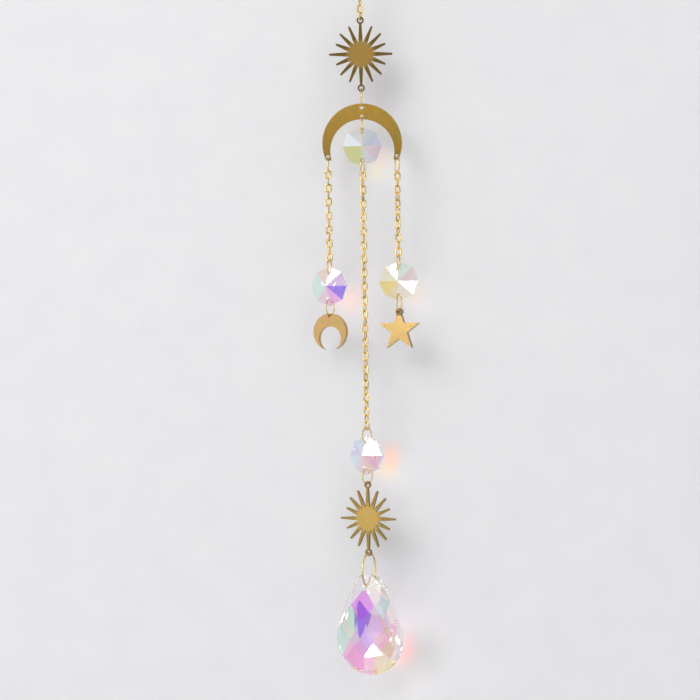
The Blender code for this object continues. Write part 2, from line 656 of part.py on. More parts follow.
def hang_column(hanger):
    """The middle column down to the arch, then from the arch to the drop. Returns the arch's height."""
    x = COLUMN_X
    hanging = ring_eye(HANGING_RING_INNER, HANGING_RING_WIRE)
    make_ring(
        "hanging_ring", hanger, HANGING_RING_INNER, HANGING_RING_WIRE, x, 0.0, 0.0, HANGING_RING_SEGMENTS
    )
    top = -HANGING_RING_INNER + seat(hanging, LINK_EYE)
    turn = QUARTER + QUARTER + TOP_CHAIN_SWING
    support = make_chain("top_chain", hanger, TOP_LINKS, x, top, 0.0, turn)
    hole_top = support + seat(LINK_EYE, SUN_EYE, TOP_CHAIN_SWING)
    support = make_sun("upper_sun", hanger, x, hole_top, 0.0)

    eye = ring_eye(SUN_TO_ARCH_INNER)
    support = hang_ring_on("ring_sun_to_arch", hanger, SUN_TO_ARCH_INNER, x, support, SUN_EYE, QUARTER)
    arch_z = make_arch("arch", hanger, x, support + seat(eye, ARCH_CROWN_EYE))

    support = arch_z + ARCH_LOWER_HOLE_Z - ARCH_LOWER_HOLE / 2
    eye = ring_eye(ARCH_TO_CRYSTAL_INNER)
    support = hang_ring_on(
        "ring_arch_to_crystal", hanger, ARCH_TO_CRYSTAL_INNER, x, support, ARCH_LOWER_EYE, QUARTER
    )
    hole_top = support + seat(eye, STONE_EYE, UPPER_CRYSTAL_TURN)
    support = make_octagon("upper_crystal", hanger, x, hole_top, UPPER_CRYSTAL_TURN)

    upper_turn = UPPER_CRYSTAL_TURN + QUARTER + UPPER_RING_SWING
    support = hang_ring_on(
        "ring_crystal_to_chain",
        hanger,
        CRYSTAL_TO_CHAIN_INNER,
        x,
        support,
        STONE_EYE,
        upper_turn,
        UPPER_RING_SWING,
    )
    top = support + seat(ring_eye(CRYSTAL_TO_CHAIN_INNER), LINK_EYE)
    lower_turn = LOWER_CRYSTAL_TURN + QUARTER
    support = make_chain("centre_chain", hanger, CENTRE_LINKS, x, top, upper_turn, lower_turn)

    eye = ring_eye(CHAIN_TO_CRYSTAL_INNER)
    support = hang_ring_on(
        "ring_chain_to_crystal", hanger, CHAIN_TO_CRYSTAL_INNER, x, support, LINK_EYE, lower_turn
    )
    hole_top = support + seat(eye, STONE_EYE)
    support = make_octagon("lower_crystal", hanger, x, hole_top, LOWER_CRYSTAL_TURN)

    eye = ring_eye(CRYSTAL_TO_SUN_INNER)
    swing = LOWER_SUN_TURN - LOWER_CRYSTAL_TURN
    support = hang_ring_on(
        "ring_crystal_to_sun", hanger, CRYSTAL_TO_SUN_INNER, x, support, STONE_EYE, lower_turn
    )
    support = make_sun("lower_sun", hanger, x, support + seat(eye, SUN_EYE, swing), LOWER_SUN_TURN)

    eye = ring_eye(SUN_TO_DROP_INNER, SUN_TO_DROP_WIRE)
    turn = DROP_TURN + QUARTER + DROP_RING_SWING
    support = hang_ring_on(
        "ring_sun_to_drop",
        hanger,
        SUN_TO_DROP_INNER,
        x,
        support,
        SUN_EYE,
        turn,
        turn - QUARTER - LOWER_SUN_TURN,
        SUN_TO_DROP_WIRE,
    )
    make_drop("drop_crystal", hanger, x, support + seat(eye, drop_eye(), DROP_RING_SWING), DROP_TURN)
    return arch_z


def hang_side(hanger, side, arch_z):
    """One side strand: ring, chain, ring, octagon crystal and a ring. Returns its x and the last inner bottom."""
    x = COLUMN_X + side.sign * ARCH_SIDE_HOLE_X
    support = arch_z - ARCH_SIDE_HOLE_DROP - ARCH_SIDE_HOLE / 2
    prefix = "ring_" + side.name
    upper_turn = QUARTER + side.upper_swing
    support = hang_ring_on(
        prefix + "_arch_to_chain",
        hanger,
        side.upper_inner,
        x,
        support,
        ARCH_SIDE_EYE,
        upper_turn,
        side.upper_swing,
    )
    top = support + seat(ring_eye(side.upper_inner), LINK_EYE)
    stone_turn = side.stone_turn + QUARTER + side.stone_swing
    support = make_chain(side.name + "_chain", hanger, side.links, x, top, upper_turn, stone_turn)

    inner = SIDE_CHAIN_TO_CRYSTAL_INNER
    support = hang_ring_on(prefix + "_chain_to_crystal", hanger, inner, x, support, LINK_EYE, stone_turn)
    hole_top = support + seat(ring_eye(inner), STONE_EYE, side.stone_swing)
    support = make_octagon(side.name + "_crystal", hanger, x, hole_top, side.stone_turn)

    swing = (side.charm_turn - side.stone_turn) / 2
    charm_turn = side.stone_turn + QUARTER + swing
    name = prefix + "_crystal_to_" + side.charm
    support = hang_ring_on(
        name, hanger, side.lower_inner, x, support, STONE_EYE, charm_turn, swing
    )
    return x, support + seat(ring_eye(side.lower_inner), side.charm_eye, swing)


Side = namedtuple(
    "Side",
    "name sign upper_inner upper_swing links stone_turn stone_swing lower_inner charm charm_turn charm_eye",
)

LEFT = Side(
    name="left",
    sign=-1,
    upper_inner=LEFT_ARCH_TO_CHAIN_INNER,
    upper_swing=0.0,
    links=LEFT_LINKS,
    stone_turn=LEFT_CRYSTAL_TURN,
    stone_swing=LEFT_RING_SWING,
    lower_inner=LEFT_CRYSTAL_TO_MOON_INNER,
    charm="moon",
    charm_turn=MOON_TURN,
    charm_eye=MOON_EYE,
)
RIGHT = Side(
    name="right",
    sign=1,
    upper_inner=RIGHT_ARCH_TO_CHAIN_INNER,
    upper_swing=RIGHT_ARCH_RING_SWING,
    links=RIGHT_LINKS,
    stone_turn=RIGHT_CRYSTAL_TURN,
    stone_swing=0.0,
    lower_inner=RIGHT_CRYSTAL_TO_STAR_INNER,
    charm="star",
    charm_turn=STAR_TURN,
    charm_eye=STAR_EYE,
)


def build():
    for obj in list(bpy.data.objects):
        bpy.data.objects.remove(obj)
    hanger = new_object("suncatcher", None)
    arch_z = hang_column(hanger)
    moon_x, moon_top = hang_side(hanger, LEFT, arch_z)
    make_moon("moon", hanger, moon_x, moon_top, MOON_TURN)
    star_x, star_top = hang_side(hanger, RIGHT, arch_z)
    make_star("star", hanger, star_x, star_top, STAR_TURN)


build()
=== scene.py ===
"""The looks of a crystal suncatcher: brass charms, cable chain and jump rings, and cut crystals.

Units are metres, +Z is up and the charms face -Y. Each piece stands where its solid is in the frame.
A turn is an angle about Z in degrees: at 0 a flat piece faces the viewer.
"""

import math

import bmesh
import bpy
from mathutils import Matrix, Quaternion, Vector
from mathutils.geometry import tessellate_polygon


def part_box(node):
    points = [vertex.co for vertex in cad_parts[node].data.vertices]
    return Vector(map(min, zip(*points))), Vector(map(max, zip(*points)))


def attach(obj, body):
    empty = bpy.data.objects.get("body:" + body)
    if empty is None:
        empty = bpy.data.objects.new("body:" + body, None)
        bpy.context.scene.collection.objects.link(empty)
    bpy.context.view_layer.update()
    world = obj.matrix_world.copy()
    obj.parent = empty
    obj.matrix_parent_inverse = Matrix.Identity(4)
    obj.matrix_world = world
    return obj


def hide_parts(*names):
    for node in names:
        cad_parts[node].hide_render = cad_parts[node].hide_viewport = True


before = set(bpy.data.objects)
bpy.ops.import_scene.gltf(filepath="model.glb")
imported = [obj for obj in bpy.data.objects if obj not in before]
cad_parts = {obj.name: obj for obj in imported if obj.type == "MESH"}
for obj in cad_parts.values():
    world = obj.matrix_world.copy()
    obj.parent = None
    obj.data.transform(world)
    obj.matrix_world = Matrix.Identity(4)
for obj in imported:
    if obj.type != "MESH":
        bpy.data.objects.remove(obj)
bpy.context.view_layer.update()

# Wire
HANGING_RING_WIRE = 0.0010
JUMP_WIRE = 0.00055
DROP_RING_WIRE = 0.00065
WIRE_SIDES = 12
RING_SEGMENTS = 72
RING_CUT_DEGREES = 1.6

# Cable chain
LINK_LENGTH = 0.00360
LINK_WIDTH = 0.0026
LINK_WIRE = 0.00052
LINK_SIDE_WIRE = 0.00076
LINK_WELD = 0.00004
LINK_END_SEGMENTS = 12
TOP_LINKS = 11
CENTRE_LINKS = 37
LEFT_LINKS = 13
RIGHT_LINKS = 12

# Sun charm
SUN_THICKNESS = 0.0007
SUN_DISC_RADIUS = 0.00425
SUN_RAYS = 16
SUN_RAY_TIP_HALF = 0.00036
SUN_SIDE_RAY_LENGTH = 0.0119
SUN_LOW_RAY_LENGTH = 0.01005
SUN_DIAGONAL_RAY_LENGTH = 0.0109
SUN_STEEP_RAY_LENGTH = 0.0113
SUN_LOOP_HEIGHT = 0.0127
SUN_LOOP_RADIUS = 0.00135
SUN_LOOP_HOLE = 0.0015
SUN_STEM_HALF = 0.00045

# Arch plate
ARCH_THICKNESS = 0.0008
ARCH_OUTER_RADIUS = 0.0149
ARCH_CROWN_DEPTH = 0.00578
ARCH_TIP_DROP = 0.00626
ARCH_TIP_WIDTH = 0.0020
ARCH_TIP_CORNER = 0.0004
ARCH_CROWN_HOLE = 0.0015
ARCH_UPPER_HOLE_INSET = 0.0014
ARCH_LOWER_HOLE_INSET = 0.00105
ARCH_LOWER_HOLE = 0.0013
ARCH_SIDE_HOLE_DROP = 0.0049
ARCH_SIDE_HOLE = 0.0013

# Moon charm
MOON_THICKNESS = 0.0015
MOON_OUTER_RADIUS = 0.0069
MOON_INNER_RADIUS = 0.00462
MOON_INNER_DROP = 0.0025
MOON_HOLE = 0.0013
MOON_HOLE_INSET = 0.0010

# Star charm
STAR_THICKNESS = 0.0020
STAR_RADIUS = 0.0083
STAR_INNER_RADIUS = 0.0033
STAR_POINTS = 5
STAR_EDGE_BEVEL = 0.00022
STAR_EYE_HEIGHT = 0.0069
STAR_EYE_RADIUS = 0.0013
STAR_EYE_HOLE = 0.0011

# All plates and holes
PLATE_EDGE_BEVEL = 0.00007
ARC_FACET_DEPTH = 0.000004
HOLE_SIDES = 32

# Octagon crystals
STONE_ACROSS_FLATS = 0.0136
STONE_GIRDLE = 0.0014
STONE_CROWN = 0.0026
STONE_HOLE = 0.0016
STONE_HOLE_INSET = 0.00276
STONE_SIDES = 8

# Drop crystal
DROP_LENGTH = 0.0380
DROP_WIDTH = 0.0280
DROP_THICKNESS = 0.0130
DROP_GIRDLE = 0.0012
DROP_TOP_RADIUS = 0.0068
DROP_HOLE = 0.0024
DROP_HOLE_INSET = 0.0048
DROP_GIRDLE_FACETS = 32
DROP_RIM_FACETS = 16
DROP_RIM_SLOPE = 1.5
DROP_CENTRE_SHARE = 0.55
DROP_KITE_SHARE = 0.30
DROP_KITE_HALF_HEIGHT = 0.17 * DROP_LENGTH
DROP_KITE_HALF_WIDTH = 0.18 * DROP_WIDTH
DROP_KITE_ROWS = range(-1, 4)
DROP_KITE_COLUMNS = range(-2, 3)

# Turns of the pieces about Z, in degrees
UPPER_CRYSTAL_TURN = 0.0
LOWER_CRYSTAL_TURN = -37.0
LOWER_SUN_TURN = -31.0
DROP_TURN = -30.0
LEFT_CRYSTAL_TURN = -25.0
MOON_TURN = -27.0
RIGHT_CRYSTAL_TURN = -12.0
STAR_TURN = -20.0
TOP_CHAIN_SWING = -25.0
UPPER_RING_SWING = -15.0
LEFT_RING_SWING = 9.0
RIGHT_ARCH_RING_SWING = 13.0
DROP_RING_SWING = 7.0
QUARTER = 90.0

# Smoothing, with angles in degrees
WIRE_SMOOTH_ANGLE = 50
PLATE_SMOOTH_ANGLE = 40
BEVEL_ANGLE = 50
BEVEL_SEGMENTS = 2
FLAT_ANGLE = 0.5
CUT_TOLERANCE = 1e-7

# Plated wire. A range is the stretch of the noise that is used.
WIRE_COLOUR = (0.86, 0.62, 0.22)
WIRE_ROUGHNESS = 0.2
WIRE_TONE_SCALE = 300.0
WIRE_TONE_DETAIL = 3.0
WIRE_TONES = ((0.38, 0.55), (0.5, 0.92), (0.65, 1.0))
WIRE_MARK_SCALE = 9000.0
WIRE_MARK_DETAIL = 2.0
WIRE_MARK_RANGE = (0.3, 0.7)
WIRE_MARK_DEPTH = 0.000004
WIRE_MARK_STRENGTH = 0.4
WIRE_SMOOTHER = 0.04
WIRE_ROUGHER = 0.06

# Brass sheet
WARM_TONE = (1.12, 0.93, 0.80)
COOL_TONE = (0.86, 0.97, 1.05)
MOTTLE_SCALE = 420.0
MOTTLE_DETAIL = 4.0
MOTTLE_PLACES = (0.35, 0.5, 0.66)
BRUSH_DETAIL = 3.0
BRUSH_STRETCH = (9000.0, 9000.0, 700.0)
BRUSH_TONES = ((0.3, 0.86), (0.7, 1.08))
BRUSH_RANGE = (0.25, 0.75)
BRUSH_DEPTH = 0.000012
BRUSH_STRENGTH = 0.5
BRUSH_SMOOTHER = 0.06
BRUSH_ROUGHER = 0.08
# Painted light and shade of the cut walls: full where a surface faces sideways, gone where it faces front
WALL_SHADING_FLATNESS = (0.35, 0.95)

# The brasses. Wear is how far the tone wanders, and edge is the tone of the cut walls: painted shade
# below 1 and painted light above it. A painted shade is given by the two distances from the middle, or
# heights, that it runs between and by its tones there.
BRASSES = {
    "arch_brass": {
        "colour": (0.36, 0.226, 0.046),
        "roughness": 0.34,
        "wear": 0.9,
        "edge": 0.45,
        # Painted light: the crown is lighter than the legs
        "painted_shading_by_height": (-0.005, 0.013, 0.95, 1.3),
    },
    "sun_brass": {
        "colour": (0.395, 0.253, 0.068),
        "roughness": 0.36,
        "wear": 0.8,
        "edge": 0.4,
        # Painted shade: the rays darken towards their tips
        "painted_ray_shade": (0.0042, 0.0062, 1.0, 0.45),
    },
    # The lower sun is the same brass as the upper one, with lighter painted shade on its rays and cut
    # walls
    "pale_sun_brass": {
        "colour": (0.375, 0.253, 0.078),
        "roughness": 0.36,
        "wear": 0.8,
        "edge": 0.5,
        "painted_ray_shade": (0.0042, 0.0062, 1.0, 0.62),
    },
    "moon_brass": {
        "colour": (0.31, 0.205, 0.085),
        "roughness": 0.30,
        "wear": 0.5,
        # Above 1: painted light on the moon's cut walls
        "edge": 1.7,
    },
    "star_brass": {
        "colour": (0.50, 0.335, 0.128),
        "roughness": 0.24,
        "wear": 0.3,
        "edge": 0.35,
        # Painted shade: the eye at the top is darker
        "painted_shading_by_height": (0.0051, 0.0056, 1.0, 0.4),
    },
}

# Glass, and how strong its coating is
GLASS_IOR = 1.52
GIRDLE_FILM = 0.15
STONE_BACK_FILM = 0.12
DROP_BACK_FILM = 1.0
# A facet that faces forward or back by less than this is a part of the girdle
LEAST_FACET_LEAN = 0.3
# The part of its step in the run over which a colour is flat
FLAT_SHARE = (0.06, 0.94)
# How far places in the run wander over the glass
FILM_DRIFT = 0.003
FILM_DRIFT_SCALE = 300.0
FILM_DRIFT_DETAIL = 2.0
FILM_DRIFT_RANGE = (0.3, 0.7)

# The coating's colours, as the share of the light that one passage through a facet lets by
CLEAR = (1.0, 1.0, 1.0)
MINT = (0.86, 1.0, 0.89)
TEAL = (0.86, 0.98, 0.95)
AQUA = (0.80, 1.0, 0.94)
SKY = (0.82, 0.92, 0.97)
CYAN = (0.72, 0.98, 1.0)
PALE_BLUE = (0.83, 0.93, 1.0)
PERIWINKLE = (0.80, 0.83, 1.0)
ICE = (0.90, 0.91, 1.0)
VIOLET = (0.46, 0.27, 0.92)
INDIGO = (0.44, 0.27, 1.0)
ORCHID = (0.99, 0.48, 1.0)
MALLOW = (0.98, 0.70, 0.97)
MAUVE = (0.92, 0.68, 1.0)
LAVENDER = (0.84, 0.74, 0.98)
LILAC = (0.90, 0.76, 0.97)
MAGENTA = (1.0, 0.56, 0.98)
PINK = (1.0, 0.66, 0.82)
FLAMINGO = (1.0, 0.62, 0.74)
ROSE = (0.94, 0.80, 0.88)
SALMON = (1.0, 0.74, 0.68)
PEACH = (1.0, 0.85, 0.74)
CREAM = (1.0, 0.95, 0.84)
SAND = (0.84, 0.80, 0.73)
BLUSH = (0.99, 0.89, 0.90)
GOLD = (1.0, 0.87, 0.58)
PRIMROSE = (1.0, 0.98, 0.80)
YELLOW = (1.0, 0.87, 0.33)
LIME = (0.92, 0.95, 0.47)

# Each octagon crystal's colours, anticlockwise from the right
STONE_RUNS = {
    "upper_crystal": (PERIWINKLE, SKY, CLEAR, PALE_BLUE, LIME, LIME, ICE, ROSE),
    "lower_crystal": (CLEAR, CLEAR, PALE_BLUE, PERIWINKLE, PALE_BLUE, ROSE, SALMON, FLAMINGO),
    "left_crystal": (MAUVE, CLEAR, PEACH, AQUA, AQUA, ROSE, MAGENTA, INDIGO),
    "right_crystal": (ROSE, TEAL, CREAM, PRIMROSE, YELLOW, GOLD, CREAM, CLEAR),
}

# The run of colours over the drop, and the facets that show each. A kite is named by its row and column,
# a rim facet by its number, anticlockwise from the top.
DROP_RUN = (
    CLEAR, MINT, VIOLET, ORCHID, MALLOW, LAVENDER, LILAC, ROSE, PINK, SALMON, GOLD, SAND, CREAM, CYAN,
    TEAL, BLUSH,
)
DROP_FRONT_COLOURS = {
    (-1, 1): SAND,
    (0, 0): ORCHID,
    (0, 2): TEAL,
    (1, -1): MINT,
    (1, 1): ROSE,
    (2, -2): CYAN,
    (2, 0): LAVENDER,
    (2, 2): SALMON,
    (3, -1): MALLOW,
    1: MINT,
    2: MINT,
    5: PINK,
    7: GOLD,
    9: GOLD,
    10: GOLD,
    11: BLUSH,
    12: BLUSH,
    13: BLUSH,
    15: SAND,
}
DROP_BACK_COLOURS = {
    (1, -1): MINT,
    (1, 1): SALMON,
    (2, -2): CREAM,
    (2, 0): LILAC,
    (3, -1): PINK,
    (3, 1): GOLD,
}
# Kites of the back whose colour runs over into the next one to the right of this line
DROP_BACK_RUN_OVER = {(1, -1): -0.0059}
RUN_OVER_STEPS = 0.75

# Studio
WALL_Y = 0.014
FLOOR_Z = -0.33
ROOM_SIZE = 3.0
# Light and shade that the crystals throw on the wall: how far right of the crystal and above it each
# patch is, its radius and its colour
WALL_GLOWS = (
    ("upper_crystal", 0.0075, -0.0030, 0.0065, (1.12, 0.97, 0.92)),
    ("upper_crystal", 0.0055, -0.0085, 0.0060, (1.08, 1.02, 0.87)),
    ("left_crystal", 0.0074, -0.0046, 0.0088, (1.20, 0.95, 0.87)),
    ("right_crystal", 0.0065, -0.0045, 0.0070, (1.04, 0.94, 0.87)),
    ("lower_crystal", 0.0088, -0.0005, 0.0074, (1.22, 0.89, 0.77)),
    ("lower_crystal", 0.0078, -0.0060, 0.0074, (1.17, 1.00, 0.80)),
    ("drop_crystal", 0.0185, -0.0140, 0.0150, (0.80, 0.81, 0.80)),
    ("drop_crystal", 0.0090, -0.0225, 0.0120, (0.85, 0.86, 0.84)),
    ("drop_crystal", 0.0118, -0.0118, 0.0108, (1.28, 0.85, 0.81)),
)

# The wall's and the floor's paint
WALL_TONES = ((0.3, (0.795, 0.795, 0.815)), (0.7, (0.82, 0.82, 0.838)))
WALL_TONE_SCALE = 60.0
WALL_TONE_DETAIL = 4.0
WALL_ROUGHNESS = 0.9
WALL_GRAIN_SCALE = 900.0
WALL_GRAIN_DETAIL = 5.0
WALL_GRAIN_DEPTH = 0.0002
WALL_GRAIN_STRENGTH = 0.25
FLOOR_TONES = ((0.3, 0.70), (0.7, 0.76))
FLOOR_TONE_SCALE = 8.0
FLOOR_TONE_DETAIL = 4.0
FLOOR_ROUGHNESS = 0.8

# Lamps
KEY_LIGHT_TOWARD = (-0.50, -0.68, 0.53)
KEY_LIGHT_DISTANCE = 2.0
KEY_LIGHT_SIZE = 0.9
KEY_LIGHT_POWER = 12.5
KEY_LIGHT_COLOUR = (1.0, 0.99, 0.98)
# Facets that flash white: the crystal, the facet's number from the right and how bright it is
STONE_FLASHES = (
    ("lower_crystal", 0, 12.0),
    ("lower_crystal", 1, 12.0),
    ("left_crystal", 1, 8.0),
    ("right_crystal", 7, 10.0),
)
FLASH_DISTANCE = 0.6
FLASH_SIZE = (0.07, 0.07)
DROP_FLASH_KITE = (3, 1)
DROP_FLASH_DISTANCE = 0.09
DROP_FLASH_SIZE = (0.0062, 0.0110)
DROP_FLASH_ROLL = 30.0
DROP_FLASH_RADIANCE = 18.0
WINDOW_DISTANCE = 1.0
WINDOW_SIZE = (0.5, 0.5)
WINDOW_RADIANCE = 2.3
LIGHT_BOUNCES = 24

# Light all round
WORLD_STRENGTH = 1.07
WORLD_TONES = ((0.0, 0.38), (0.45, 0.52), (0.7, 0.70), (1.0, 0.86))
WORLD_BRIGHT_SIDE = (-0.5, -0.55, 0.67)

# The Mix node's colour sockets by number, because its sockets for numbers have the same names
MIX_FIRST_COLOUR = 6
MIX_SECOND_COLOUR = 7
MIX_COLOUR_OUT = 2

# Camera
VIEW_MIDDLE = Vector((-0.0058, 0.0, -0.1621))
CAMERA_DISTANCE = 0.729
CAMERA_LENS = 100.0
CAMERA_SENSOR = 36.0
CAMERA_ROLL = math.radians(0.92)
CAMERA_PLACE = VIEW_MIDDLE - Vector((0.0, CAMERA_DISTANCE, 0.0))
CAMERA_CLIP_START = 0.01


# Shapes


def circle_points(centre_x, centre_z, radius, sides):
    step = 2 * math.pi / sides
    angles = [(index + 0.5) * step for index in range(sides)]
    return [(centre_x + radius * math.cos(a), centre_z + radius * math.sin(a)) for a in angles]


def arc_points(centre_x, centre_z, radius, start, end):
    """Points on an arc from one angle to another, both ends included."""
    step = 2 * math.acos(1 - ARC_FACET_DEPTH / radius)
    count = max(2, math.ceil(abs(end - start) / step))
    angles = [start + (end - start) * index / count for index in range(count + 1)]
    return [(centre_x + radius * math.cos(a), centre_z + radius * math.sin(a)) for a in angles]


def new_object(name, data):
    obj = bpy.data.objects.new(name, data)
    bpy.context.scene.collection.objects.link(obj)
    return obj


def close_up(bm, name):
    """Turns a finished bmesh into a mesh with its faces pointing out."""
    bmesh.ops.recalc_face_normals(bm, faces=bm.faces)
    mesh = bpy.data.meshes.new(name)
    bm.to_mesh(mesh)
    bm.free()
    return mesh


def plate_mesh(name, outline, holes, thickness):
    """A flat plate in the XZ plane, with holes through it."""
    loops = [outline, *holes]
    flat = [point for loop in loops for point in loop]
    bm = bmesh.new()
    front = [bm.verts.new((x, -thickness / 2, z)) for x, z in flat]
    back = [bm.verts.new((x, thickness / 2, z)) for x, z in flat]
    for triangle in tessellate_polygon([[Vector((x, z, 0)) for x, z in loop] for loop in loops]):
        bm.faces.new([front[index] for index in triangle])
        bm.faces.new([back[index] for index in reversed(triangle)])
    start = 0
    for loop in loops:
        size = len(loop)
        for index in range(size):
            this = start + index
            following = start + (index + 1) % size
            bm.faces.new((front[this], front[following], back[following], back[this]))
        start += size
    bmesh.ops.dissolve_limit(bm, angle_limit=math.radians(FLAT_ANGLE), verts=bm.verts, edges=bm.edges)
    return close_up(bm, name)


def add_wire(bm, path, wire, matrix, closed=True, widths=None):
    """A wire whose middle runs along points in the XZ plane. Its width there can change along it."""
    step = 2 * math.pi / WIRE_SIDES
    count = len(path)
    sections = []
    for index in range(count):
        here = Vector(path[index])
        before = Vector(path[index - 1]) if closed or index else here
        after = Vector(path[(index + 1) % count]) if closed or index < count - 1 else here
        along = (after - before).normalized()
        outward = Vector((along.y, -along.x))
        section = []
        width = widths[index] if widths else wire
        for side in range(WIRE_SIDES):
            angle = (side + 0.5) * step
            point = here + outward * width / 2 * math.cos(angle)
            section.append(bm.verts.new(matrix @ Vector((point.x, wire / 2 * math.sin(angle), point.y))))
        sections.append(section)
    for index in range(count if closed else count - 1):
        section = sections[index]
        following = sections[(index + 1) % count]
        for side in range(WIRE_SIDES):
            other = (side + 1) % WIRE_SIDES
            bm.faces.new((section[side], section[other], following[other], following[side]))
    if not closed:
        bm.faces.new(sections[0])
        bm.faces.new(sections[-1])


def soften(obj, angle):
    obj.data.shade_smooth()
    obj.data.set_sharp_from_angle(angle=math.radians(angle))


def stand(obj, middle, turn, nodes, material):
    """Puts a piece in its place on the frame, in place of its solids there."""
    obj.location = middle
    obj.rotation_euler = (0.0, 0.0, math.radians(turn))
    obj.data.materials.append(material)
    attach(obj, "root")
    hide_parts(nodes)
    return obj


def box_middle(node):
    low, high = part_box(node)
    return (low + high) / 2


def under_box_top(node, drop):
    """The middle of a node's box in plan, at a distance below the box's top."""
    middle = box_middle(node)
    middle.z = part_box(node)[1].z - drop
    return middle


# Rings and chains


def make_ring(node, wire, turn, material):
    """A wire bent round until its two cut ends meet."""
    low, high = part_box(node)
    radius = (high.z - low.z - wire) / 2
    start = math.radians(RING_CUT_DEGREES / 2)
    end = 2 * math.pi - start
    angles = [start + (end - start) * index / RING_SEGMENTS for index in range(RING_SEGMENTS + 1)]
    path = [(radius * math.cos(a), radius * math.sin(a)) for a in angles]
    bm = bmesh.new()
    add_wire(bm, path, wire, Matrix(), closed=False)
    ring = new_object(node + "_wire", close_up(bm, node))
    soften(ring, WIRE_SMOOTH_ANGLE)
    return stand(ring, box_middle(node), turn, node, material)


def link_turns(count, turn_above, turn_below):
    """A quarter turn from link to link, plus an even share of the twist down to what is below."""
    first = turn_above - QUARTER
    whole = QUARTER * (count - 1)
    twist = (turn_below - QUARTER - first - whole + QUARTER) % (2 * QUARTER) - QUARTER
    return [first + (whole + twist) * index / (count - 1) for index in range(count)]


def link_path():
    """The middle of a link's wire and its width there. The long sides are rolled wider than the ends."""
    shift = (LINK_LENGTH - LINK_WIDTH) / 2
    points = []
    widths = []
    for x, z in circle_points(0.0, 0.0, 1.0, 2 * LINK_END_SEGMENTS):
        width = LINK_WIRE + (LINK_SIDE_WIRE - LINK_WIRE) * abs(x)
        radius = (LINK_WIDTH - width) / 2
        points.append((x * radius, z * (LINK_WIDTH - LINK_WIRE) / 2 + math.copysign(shift, z)))
        widths.append(width)
    return points, widths


def make_chain(node, count, turn_above, turn_below, material):
    pitch = LINK_LENGTH - 2 * LINK_WIRE + LINK_WELD
    path, widths = link_path()
    bm = bmesh.new()
    for index, turn in enumerate(link_turns(count, turn_above, turn_below)):
        place = Matrix.Translation((0.0, 0.0, -pitch * index))
        turning = Matrix.Rotation(math.radians(turn), 4, "Z")
        add_wire(bm, path, LINK_WIRE, place @ turning, widths=widths)
    chain = new_object(node + "_links", close_up(bm, node))
    soften(chain, WIRE_SMOOTH_ANGLE)
    return stand(chain, under_box_top(node, LINK_LENGTH / 2), 0.0, node, material)


# Charms


def sun_ray_length(index):
    """Length of a ray, counted round from the one that points sideways."""
    lengths = (SUN_SIDE_RAY_LENGTH, SUN_LOW_RAY_LENGTH, SUN_DIAGONAL_RAY_LENGTH, SUN_STEEP_RAY_LENGTH)
    quarter = SUN_RAYS // 4
    share = index % (2 * quarter)
    steps_from_side = min(share, 2 * quarter - share)
    return lengths[min(steps_from_side, len(lengths) - 1)]


def turned(points, angle):
    cosine, sine = math.cos(angle), math.sin(angle)
    return [(x * cosine - z * sine, x * sine + z * cosine) for x, z in points]


def ray_tip(length):
    """The rounded end of a ray that points along +X."""
    half = SUN_RAY_TIP_HALF
    return arc_points(length - half, 0.0, half, -math.pi / 2, math.pi / 2)


def loop_tip():
    """The end of a vertical ray, drawn along +X: a stem that runs into a round loop."""
    spread = math.asin(SUN_STEM_HALF / SUN_LOOP_RADIUS)
    return arc_points(SUN_LOOP_HEIGHT, 0.0, SUN_LOOP_RADIUS, spread - math.pi, math.pi - spread)


def sun_mesh(name):
    step = 2 * math.pi / SUN_RAYS
    outline = []
    for index in range(SUN_RAYS):
        upright = index % (SUN_RAYS // 2) == SUN_RAYS // 4
        tip = loop_tip() if upright else ray_tip(sun_ray_length(index))
        outline += turned(tip, index * step)
        outline += turned([(SUN_DISC_RADIUS, 0.0)], (index + 0.5) * step)
    heights = (SUN_LOOP_HEIGHT, -SUN_LOOP_HEIGHT)
    holes = [circle_points(0.0, height, SUN_LOOP_HOLE / 2, HOLE_SIDES) for height in heights]
    return plate_mesh(name, outline, holes, SUN_THICKNESS)


def bevelled(obj, width):
    """Breaks a plate's edges with a small rounding."""
    bevel = obj.modifiers.new("edges", "BEVEL")
    bevel.width = width
    bevel.segments = BEVEL_SEGMENTS
    bevel.limit_method = "ANGLE"
    bevel.angle_limit = math.radians(BEVEL_ANGLE)
    bevel.use_clamp_overlap = True
    soften(obj, PLATE_SMOOTH_ANGLE)
    return obj


def make_sun(node, turn, material):
    sun = bevelled(new_object(node + "_plate", sun_mesh(node)), PLATE_EDGE_BEVEL)
    return stand(sun, box_middle(node), turn, node, material)


